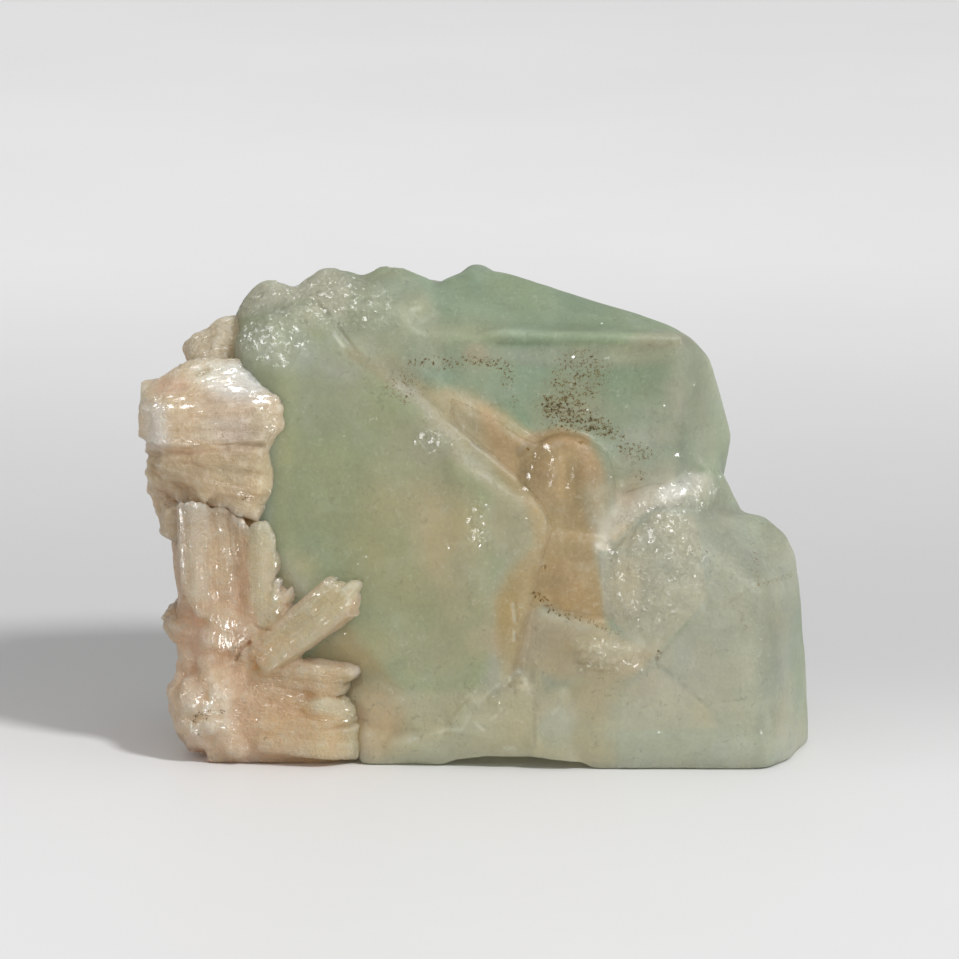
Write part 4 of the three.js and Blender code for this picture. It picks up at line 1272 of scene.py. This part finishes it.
def painted_edge_light(skin):
    """Painted light: lighter on thin edges and ridges, as if light came through them, and a deeper painted
    glow in creases that lifts their shade. The relief's bumps are painted lighter and its hollows darker.
    """
    ridge = smooth(0.02, 0.25, skin.edge)[:, None]
    crease = smooth(0.02, 0.3, -skin.edge)[:, None]
    bend = np.clip(skin.texture / 0.2, -1, 1)[:, None]
    return 1 + 0.2 * ridge + crease * np.array([0.5, 0.36, 0.25]) + 0.12 * bend


def sheaf_tint(skin):
    """The sheaf's zones and tones over a patchy base, with painted edge light; the zones paint a highlight
    on the crown and the tones paint light and shade.
    """
    base = mottled(skin, TAN, PEACH, 9.0, 107)
    return toned(painted(base, skin, SHEAF_ZONES), skin, SHEAF_TONES) * painted_edge_light(skin)


# blades of the rosette: root, tip and the way the broad face looks
ROSETTE_AXES = [
    ((-22.75, -15.3, 11.4), (-12.55, -18.3, 20.3), (-0.3, -1, 0.2)),
    ((-22.55, -14.7, 10.2), (-11.75, -17.1, 9.2), (0, -1, 0)),
    ((-24.75, -14.7, 14.0), (-20.15, -14.9, 19.6), (0, -1, 0)),
    ((-23.15, -15.7, 3.6), (-10.15, -17.1, 2.8), (0, -1, 0)),
    ((-30.0, -15.0, 15.6), (-30.1, -16.1, 28.9), (0, -1, 0)),
    ((-26.5, -15.0, 12.8), (-26.9, -15.3, 28.2), (0, -1, 0)),
    ((-25.1, -15.5, 23.5), (-25.2, -15.8, 27.3), (0, -1, 0)),
    ((-23.1, -15.4, 14.6), (-22.9, -15.9, 26.6), (0, -1, 0)),
    ((-18.5, -17.2, 6.4), (-13.0, -18.2, 5.6), (0, -1, 0)),
    ((-30.2, -10.5, 15.0), (-31.2, -10.9, 24.6), (-1, 0, 0)),
    ((-26.2, -10.5, 12.0), (-33.0, -10.1, 14.6), (-1, 0, 0)),
]
# and those of its left side, which spread from a hub: their turns in half circles, reach and depth
HUB = (-26.15, -2.5, 15.0)
SPOKE_TURNS = [0.1, -0.06, -0.22, -0.38, -0.54, -0.7, -0.86, 0.9]
SPOKE_REACH = (11.5, 12.0)
SPOKE_OUT = -29.6
# sets the fibres of neighbouring blades apart
BLADE_SHIFT = 9.0


def rosette_axes():
    """The blades of the rosette, with those that spread from its hub over the left side."""
    spokes = []
    for turn in SPOKE_TURNS:
        tip = (SPOKE_OUT, HUB[1] + SPOKE_REACH[0] * math.cos(turn * math.pi),
               HUB[2] + SPOKE_REACH[1] * math.sin(turn * math.pi))
        spokes.append((HUB, tip, (-1, 0, 0)))
    return ROSETTE_AXES + spokes


def nearest_blade(points, axes):
    """For the nearest blade: fibre coordinates (across, along and through) and its direction.

    Also what is left to its tip, and how far the point lies to the side of its axis."""
    best = np.full(len(points), 1e9)
    grain = np.zeros((len(points), 3))
    direction = np.zeros((len(points), 3))
    left = np.zeros(len(points))
    aside = np.zeros(len(points))
    for i, (root, tip, facing) in enumerate(axes):
        root = np.array(root)
        along = np.array(tip) - root
        length = np.linalg.norm(along)
        along /= length
        side = np.cross(along, np.array(facing, float))
        side /= np.linalg.norm(side)
        through = np.cross(side, along)
        q = points - root
        s = q @ along
        gap = np.linalg.norm(q - np.clip(s, 0, length)[:, None] * along, axis=1)
        here = np.stack([q @ side + BLADE_SHIFT * i, s, q @ through], 1)
        nearer = gap < best
        grain[nearer] = here[nearer]
        direction[nearer] = along
        left[nearer] = length - s[nearer]
        aside[nearer] = np.abs(q @ side)[nearer]
        best = np.minimum(best, gap)
    return grain, direction, left, aside


ROSETTE_ZONES = [
    (area([(178, 496), (210, 492), (212, 600), (190, 600), (176, 560)], 5), (192, 172, 148), 1.0),
    (oval((222, 555), (24, 52)), (186, 164, 134), 0.9),
    (oval((245, 520), (12, 20)), (188, 170, 142), 0.7),
    (area([(248, 530), (262, 518), (274, 522), (280, 560), (278, 620), (262, 632), (250, 600)], 4),
        OLIVE_TAN, 1.0),
    (area([(266, 640), (340, 568), (362, 574), (360, 592), (300, 660), (270, 668)], 5), (188, 172, 142),
        1.0),
    (oval((282, 650), (24, 20)), (196, 168, 136), 0.7),
    (oval((226, 632), (36, 34)), (216, 183, 152), 1.0),
    (oval((200, 650), (24, 30)), (192, 168, 144), 0.6),
    (oval((206, 712), (44, 46)), GREY_PINK, 1.0),
    (oval((245, 668), (28, 18)), (196, 166, 136), 0.8),
    (oval((285, 675), (50, 18), 8), (184, 158, 126), 0.9),
    (area([(262, 690), (340, 690), (395, 720), (390, 768), (262, 768)], 10), (182, 153, 118), 1.0),
    (oval((330, 706), (28, 12), 8), (189, 172, 144), 0.9),
    (oval((366, 712), (20, 14)), (176, 164, 136), 0.8),
    (oval((372, 740), (28, 22)), (170, 154, 126), 0.7),
    (area([(338, 686), (400, 680), (400, 775), (350, 775), (344, 730)], 16), (164, 152, 122), 0.9),
    (oval((300, 740), (40, 20)), (190, 160, 130), 0.6),
]
# where the rosette is lighter, darker, warmer or cooler than its zones: (mask, factor)
ROSETTE_TONES = [
    (oval((200, 590), (36, 84)), (1.12, 1.12, 1.15)),
    (oval((262, 590), (34, 60)), (1.14, 1.09, 1.07)),
    (oval((312, 610), (54, 46), -40), (1.16, 1.12, 1.1)),
    (oval((258, 664), (28, 20)), (1.18, 1.14, 1.1)),
    # painted light where the blades' sides and roots lie in shade, turned from the key light
    (oval((190, 640), (24, 28)), (1.24, 1.18, 1.2)),
    (oval((268, 643), (28, 26)), (1.26, 1.2, 1.18)),
    (oval((336, 680), (24, 20)), (0.95, 0.92, 0.82)),
    # painted light along the bottom, whose faces turn down into shade
    (run([(200, 748), (300, 762)], 24), (1.22, 1.2, 1.26)),
]
ROSETTE_GLINTS = [
    (run([(183, 510), (181, 548), (182, 580)], 5), 0.8),
    (oval((192, 502), (15, 7)), 1.0),
    (oval((243, 518), (6, 14)), 0.95),
    (oval((236, 552), (6, 14), -15), 0.6),
    (run([(274, 525), (277, 560), (277, 612)], 4), 0.6),
    (oval((345, 577), (10, 7), -30), 1.25),
    (run([(324, 622), (340, 610), (352, 602)], 4), 0.85),
    (oval((318, 598), (36, 14), -42), 0.5),
    (oval((212, 598), (9, 10)), 0.85),
    (oval((228, 634), (32, 26)), 0.75),
    (oval((262, 655), (10, 9)), 0.7),
    (oval((192, 618), (10, 8)), 0.6),
    (oval((206, 712), (44, 46)), 0.6),
    (oval((270, 700), (50, 30)), 0.3),
    (oval((196, 560), (18, 50)), 0.3),
    (oval((222, 560), (12, 50), -14), 0.35),
    (oval((350, 700), (14, 6), 10), 0.5),
    (oval((345, 716), (10, 12)), 0.6),
    (oval((376, 690), (10, 8)), 0.5),
    (oval((330, 675), (30, 10), 20), 0.35),
]
ROSETTE_SPECKS = [
    (oval((202, 716), (16, 8), -20), 0.75),
    (oval((222, 712), (5, 4)), 0.8),
    (oval((240, 652), (10, 12), -40), 0.4),
    (oval((360, 575), (3, 3)), 1.3),
    (oval((265, 739), (4, 3)), 0.9),
    (oval((198, 736), (8, 6)), 0.4),
]
KNOTTED = oval((222, 632), (40, 36))


def granular_part(skin):
    """1 on the granular foot and the knotted middle of the rosette, also round its left side."""
    foot = (1 - smooth(11.0, 14.0, skin.points[:, 2])) * (1 - smooth(-24.5, -22.0, skin.points[:, 0]))
    return np.maximum(foot, 0.7 * skin.within(KNOTTED))


LOW_SPRAY = area([(262, 690), (340, 680), (400, 690), (400, 780), (262, 780)], 14)
BLADE_SHOULDER = run([(222, 504), (262, 510)], 9)
CRACK_PLACES = [(250, 642), (241, 648), (236, 660)]
SPLIT_PLACES = [(256, 627), (263, 629), (270, 630)]
# how far from its tip a blade is stepped and splintered, and how wide its tip is at most
TIP_LENGTH = 2.6
TIP_HALF_WIDTH = 2.2
# how deep the ends of the low spray sink, and between which pixels to the right and down they begin to
SPRAY_SINKS = 3.2
SPRAY_ENDS = (318, 376)
SPRAY_TOP = (672, 692)


def tip_reach(skin, grain, plate, aside):
    """How far each plate of a blade reaches past its tip or falls short of it, and most at its sides."""
    p = skin.points
    splinter = noise(grain * np.array([1 / 0.4, 0, 1 / 0.5]), 1.0, 221)
    stump = 0.35 + 0.65 * smooth(6.0, 10.0, p[:, 2])
    pointed = 0.35 * np.minimum(aside, TIP_HALF_WIDTH) ** 2 * smooth(-25.0, -24.0, p[:, 0])
    return (0.8 * (plate - 0.75) + 0.12 * splinter) * stump - pointed


def rosette_relief(skin):
    """Plates and fibres along each blade, stepped tips, a granular foot, and the low spray's ends sunk."""
    p = skin.points
    grain, direction, left, aside = nearest_blade(p, rosette_axes())
    granular = granular_part(skin)
    _, plate = cells(grain * np.array([1.0, 0.05, 0.45]), 1.0, 223)
    fibres = 0.19 * (plate - 0.5) + 0.07 * noise(grain * np.array([1 / 0.45, 1 / 5.0, 1 / 0.8]), 1.0, 202)
    lift = 0.1 + layered(p, (noise, 0.05, 2.5, 201), (facets, 0.12, 1.7, 216), (facets, 0.08, 0.9, 217))
    lift += (1 - granular) * (1 - 0.7 * skin.within(LOW_SPRAY)) * fibres
    lift += granular * layered(p, (facets, 0.16, 2.0, 218), (noise, 0.12, 1.5, 219), (noise, 0.06, 0.8, 220))
    lift -= smooth(0.04, 0.25, skin.edge) * (0.08 + 0.2 * noise(p, 0.9, 212))
    lift -= 0.3 * skin.within(run(CRACK_PLACES, 3)) + 0.12 * skin.within(run(SPLIT_PLACES, 2.5))
    lift += 0.25 * skin.within(BLADE_SHOULDER)
    near_tip = (1 - smooth(0.0, TIP_LENGTH, left)) * (1 - granular)
    stretch = tip_reach(skin, grain, plate, aside) * near_tip
    right, down = skin.pixels.T
    sunk = smooth(*SPRAY_ENDS, right) * smooth(*SPRAY_TOP, down) * skin.front
    return (skin.normals * lift[:, None] + direction * stretch[:, None]
            + sunk[:, None] * np.array([0, SPRAY_SINKS, 0]))


def rosette_tint(skin):
    """The rosette's zones and tones over a patchy base, with grains, painted edge light and two dark cracks;
    some tones paint light where it lies in shade.
    """
    base = mottled(skin, PINK, PEACH, 8.0, 215)
    tint = toned(painted(base, skin, ROSETTE_ZONES), skin, ROSETTE_TONES)
    rim, label = cells(skin.points, 1.35, 204)
    tone = 1 + granular_part(skin) * (0.12 * (label - 0.5) - 0.05 * (1 - smooth(0.0, 0.3, rim)))
    dark = [(run(CRACK_PLACES, 2.2), (120, 90, 62), 0.45), (run(SPLIT_PLACES, 1.8), (120, 104, 78), 0.4)]
    return painted(tint * tone[:, None] * painted_edge_light(skin), skin, dark)


# ---- Pieces ------------------------------------------------------------------------------------
APOPHYLLITE_VOXEL = 0.21
STILBITE_VOXEL = 0.17
# the most triangles that a piece keeps
APOPHYLLITE_MOST = 194000
STILBITE_MOST = 190000
CENTRE_MOST = 150000

# how much lighter the zones' colours are made, to come out of the see-through materials as painted
APOPHYLLITE_GAIN = 1.48
SHEAF_GAIN = 1.42
ROSETTE_GAIN = SHEAF_GAIN * 1.1
AMBER_GAIN = 0.94
# painted light towards the foot: how much lighter at the floor, fading out by this height in millimetres
FOOT_LIGHT = 0.25
FOOT_HEIGHT = 16.0
# no channel of a tint goes above this
FULL = 0.96

# the coat's weight on the sides and back
GLOSS = 0.3
# the apophyllite turns from clear to milky between these distances from the amber stilbite
SEAM_REACH = (0.6, 3.0)
MILKY = 0.9
# how the amber stilbite lies on the apophyllite: its rise, the dip of its rim, and the rim's width in edges
PROUD = 0.03
RIM_DIP = 0.14
RIM_ROUNDS = 8


def lit(skin, tint, gain):
    """The tint times the gain, with painted light towards the foot that lifts the shade there.

    No channel goes above full, and the hue stays."""
    low = 1 - smooth(0.0, FOOT_HEIGHT, skin.points[:, 2])
    tint = tint * gain * (1 + FOOT_LIGHT * low[:, None])
    return tint / np.maximum(1.0, tint.max(axis=1) / FULL)[:, None]


def evenly(skin):
    """Eases the whole surface alike."""
    return np.ones(len(skin.points))


def shaped(nodes, name, voxel, swell, softness, rounds, relief, most, neighbours=(), settle=None, infill=()):
    """The dense copy of the nodes, eased and given its relief, thinned out to a number of triangles."""
    obj = dense_copy(nodes, name, voxel, swell, infill)
    ease(obj, softness, rounds)
    skin = Skin(obj.data)
    skin.edge = edge_measure(obj, skin) / voxel
    displace(obj, skin, relief(skin), neighbours)
    texture = edge_measure(obj, Skin(obj.data)) / voxel
    if settle:
        settle(obj)
        texture *= 0
    store(obj, "edge", np.stack([skin.edge, texture, texture], 1))
    thin_out(obj, most)
    return obj


SOFT_RIDGES = [
    (run([(425, 425), (455, 500), (472, 600), (478, 665)], 34), 1.0),
    (run([(300, 295), (345, 345), (440, 420), (545, 505), (540, 545), (505, 600), (500, 660)], 38), 1.0),
    (run([(470, 365), (600, 350), (700, 345)], 20), 0.9),
    (run([(446, 396), (490, 412), (534, 436)], 16), 1.0),
    (run([(655, 505), (706, 520), (760, 590), (768, 770)], 26), 0.9),
    (run([(690, 345), (688, 420), (676, 500)], 26), 1.0),
    (run([(536, 620), (536, 770)], 14), 1.0),
    (run([(792, 574), (757, 587), (709, 612), (657, 662), (706, 706)], 18), 0.8),
    (area([(400, 290), (480, 280), (480, 330), (410, 330)], 16), 1.0),
]
FOOT_CHIPS = area([(440, 668), (560, 660), (640, 690), (640, 775), (400, 775), (400, 720)], 12)


def apophyllite_softness(skin):
    """The ridges across the front are worn soft; the small crystals along the foot keep their edges."""
    worn = np.maximum(0.04 + 0.26 * skin.front, strongest(skin, SOFT_RIDGES))
    return worn * (1 - 0.75 * skin.within(FOOT_CHIPS))


def gaps_to(node, points):
    """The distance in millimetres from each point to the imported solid, no more than matters for a seam."""
    tree = surface_tree(node)
    gaps = np.full(len(points), SEAM_REACH[1])
    for i, point in enumerate(points):
        _, _, _, gap = tree.find_nearest(Vector(point), SEAM_REACH[1])
        if gap is not None:
            gaps[i] = gap
    return gaps


# the narrow rooms round the end of the amber tail and beside the foot of the rosette, grown full
TAIL_SLOT = ((3.2, -16.9, 8.0), (6.9, 0.0, 13.4))
FOOT_SLOT = ((-12.4, -16.1, 0.0), (-8.6, -10.0, 3.7))


def make_apophyllite():
    """Makes the crystals and returns their surface, to lay the amber stilbite on.

    They also fill the room behind the amber stilbite, so that no seam shows round it."""
    obj = shaped(("apophyllite_crystals", "stilbite_centre"), "apophyllite_skin", APOPHYLLITE_VOXEL,
                 swell=0.4, softness=apophyllite_softness, rounds=90, relief=apophyllite_relief,
                 most=APOPHYLLITE_MOST, infill=(TAIL_SLOT, FOOT_SLOT))
    skin = Skin(obj.data)
    patches = 0.5 * smooth(0.2, 0.7, fractal(skin.points, 8.0, 2, 90)) * skin.back
    glitter = np.maximum(strongest(skin, GLITTER_ZONES), patches)
    soft = smooth(*SEAM_REACH, gaps_to("stilbite_centre", skin.points)) * (MILKY - 0.6 * glitter)
    finish_piece(obj, "apophyllite_crystals", "apophyllite",
                 apophyllite_material("apophyllite", transmission=0.55, cracked=1.0),
                 tint=lit(skin, apophyllite_tint(skin), APOPHYLLITE_GAIN),
                 mark=marks(skin, SPECK_ZONES, glitter, GLINT_ZONES),
                 soft=np.stack([soft, GLOSS * skin.back, soft], 1))
    faces = [tuple(polygon.vertices) for polygon in obj.data.polygons]
    return BVHTree.FromPolygons([Vector(point) for point in skin.points], faces)


def laid_flush(obj, tree):
    """Draws what is near the apophyllite's surface onto it, a hair proud, with the rim dipping under it."""
    skin = Skin(obj.data)
    target = skin.points.copy()
    outward = np.zeros_like(target)
    pull = np.zeros(len(target))
    for i, point in enumerate(skin.points):
        place, normal, _, _ = tree.find_nearest(Vector(point))
        height = (Vector(point) - place).dot(normal)
        facing = Vector(skin.normals[i]).dot(normal)
        target[i] = place
        outward[i] = normal
        pull[i] = smooth(-1.2, -0.6, height) * smooth(0.1, 0.5, facing)
    middles = neighbour_middles(obj)
    inner = pull
    for _ in range(RIM_ROUNDS):
        inner = middles(inner)
    rise = PROUD + RIM_DIP * (smooth(0.55, 0.97, inner) - 1)
    shift = target + outward * rise[:, None] - skin.points
    move_to(obj, skin.points + shift * pull[:, None])


def make_centre(tree):
    """The amber stilbite in the middle, level with the apophyllite that it is grown into."""
    obj = shaped(("stilbite_centre",), "centre_skin", STILBITE_VOXEL, swell=0.25, softness=evenly, rounds=4,
                 relief=lambda skin: 0.1 + 0.2 * fractal(skin.points, 1.6, 2, 301),
                 most=CENTRE_MOST, settle=lambda obj: laid_flush(obj, tree))
    skin = Skin(obj.data)
    finish_piece(obj, "stilbite_centre", "stilbite_amber",
                 apophyllite_material("stilbite_amber", transmission=0.2, cracked=0.4),
                 tint=lit(skin, apophyllite_tint(skin), AMBER_GAIN),
                 mark=marks(skin, SPECK_ZONES, strongest(skin, GLITTER_ZONES), GLINT_ZONES),
                 soft=np.zeros((len(skin.points), 3)))


def make_sheaf():
    """The sheaf of stacked plates, pressed onto the crystals and the rosette."""
    obj = shaped(("stilbite_sheaf",), "sheaf_skin", STILBITE_VOXEL, swell=0.5, softness=evenly, rounds=10,
                 relief=sheaf_relief, most=STILBITE_MOST,
                 neighbours=("apophyllite_crystals", "stilbite_rosette"))
    skin = Skin(obj.data)
    finish_piece(obj, "stilbite_sheaf", "stilbite_pearly",
                 stilbite_material("stilbite_pearly", transmission=0.2),
                 tint=lit(skin, sheaf_tint(skin), SHEAF_GAIN),
                 grain=sheaf_grain(skin.points),
                 mark=marks(skin, SHEAF_SPECKS, np.zeros(len(skin.points)), SHEAF_GLINTS),
                 soft=np.stack([GLOSS * skin.back] * 3, 1))


def make_rosette():
    """The rosette, pressed onto the crystals, with its granular foot eased more than its blades."""
    obj = shaped(("stilbite_rosette",), "rosette_skin", STILBITE_VOXEL, swell=0.42,
                 softness=lambda skin: 0.2 + 0.5 * granular_part(skin), rounds=20,
                 relief=rosette_relief, most=STILBITE_MOST, neighbours=("apophyllite_crystals",))
    skin = Skin(obj.data)
    finish_piece(obj, "stilbite_rosette", "stilbite_peach",
                 stilbite_material("stilbite_peach", transmission=0.42),
                 tint=lit(skin, rosette_tint(skin), ROSETTE_GAIN),
                 grain=nearest_blade(skin.points, rosette_axes())[0],
                 mark=marks(skin, ROSETTE_SPECKS, granular_part(skin), ROSETTE_GLINTS),
                 soft=np.stack([GLOSS * skin.back] * 3, 1))


make_centre(make_apophyllite())
make_sheaf()
make_rosette()

# ---- Stage, lights and camera ------------------------------------------------------------------
FLOOR_RADIUS = 1500.0
KEY_DISTANCE = 1500.0
KEY_SIZE = 240.0
KEY_POWER = 17.0
SKY = 0.55


def floor_material():
    """A pale table, a little mottled, darkening to a band of painted shade just behind the cluster, with
    painted light far back and to the left.
    """
    s = Shader("pale_floor")
    place = s.millimetres()
    side, back, _ = s.split(place)
    mottle = s.swing(s.noise(place, 0.01, detail=4), 0.015, 1.0)
    # painted shade deepening to a band just behind the cluster, then painted light far back, and painted
    # light to the left
    near = s.fit(back, -30.0, 44.0, 0.76, 0.60)
    far = s.fit(back, 44.0, 330.0, 0.0, 0.32)
    level = s.times(s.plus(near, far), s.plus(mottle, s.fit(side, -90.0, 90.0, 0.03, -0.03)))
    colour = s.node("ShaderNodeCombineXYZ", {0: level, 1: level, 2: level}).outputs[0]
    return s.surface({"Base Color": colour, "Roughness": 0.5, "Specular IOR Level": 0.25})


def add_floor():
    """The table that the cluster stands on."""
    form = bmesh.new()
    bmesh.ops.create_circle(form, cap_ends=True, segments=96, radius=FLOOR_RADIUS * MM)
    mesh = bpy.data.meshes.new("floor")
    form.to_mesh(mesh)
    form.free()
    floor = added("floor", mesh)
    floor.location = (0, 0, CAD_BOX[0].z)
    floor.data.materials.append(floor_material())


def add_lights():
    """One soft key light from the upper right and an even sky."""
    data = bpy.data.lights.new("key", "AREA")
    data.shape = "DISK"
    data.size = KEY_SIZE * MM
    data.energy = KEY_POWER
    key = added("key", data)
    key.location = Vector(TO_KEY * KEY_DISTANCE * MM)
    key.rotation_euler = Vector(TO_KEY).to_track_quat("Z", "Y").to_euler()
    world = bpy.data.worlds.new("sky")
    world.use_nodes = True
    sky = world.node_tree.nodes["Background"]
    sky.inputs["Color"].default_value = (1.0, 1.0, 1.0, 1.0)
    sky.inputs["Strength"].default_value = SKY
    bpy.context.scene.world = world


add_floor()
add_lights()
add_camera()
bpy.context.scene.view_settings.view_transform = "Standard"
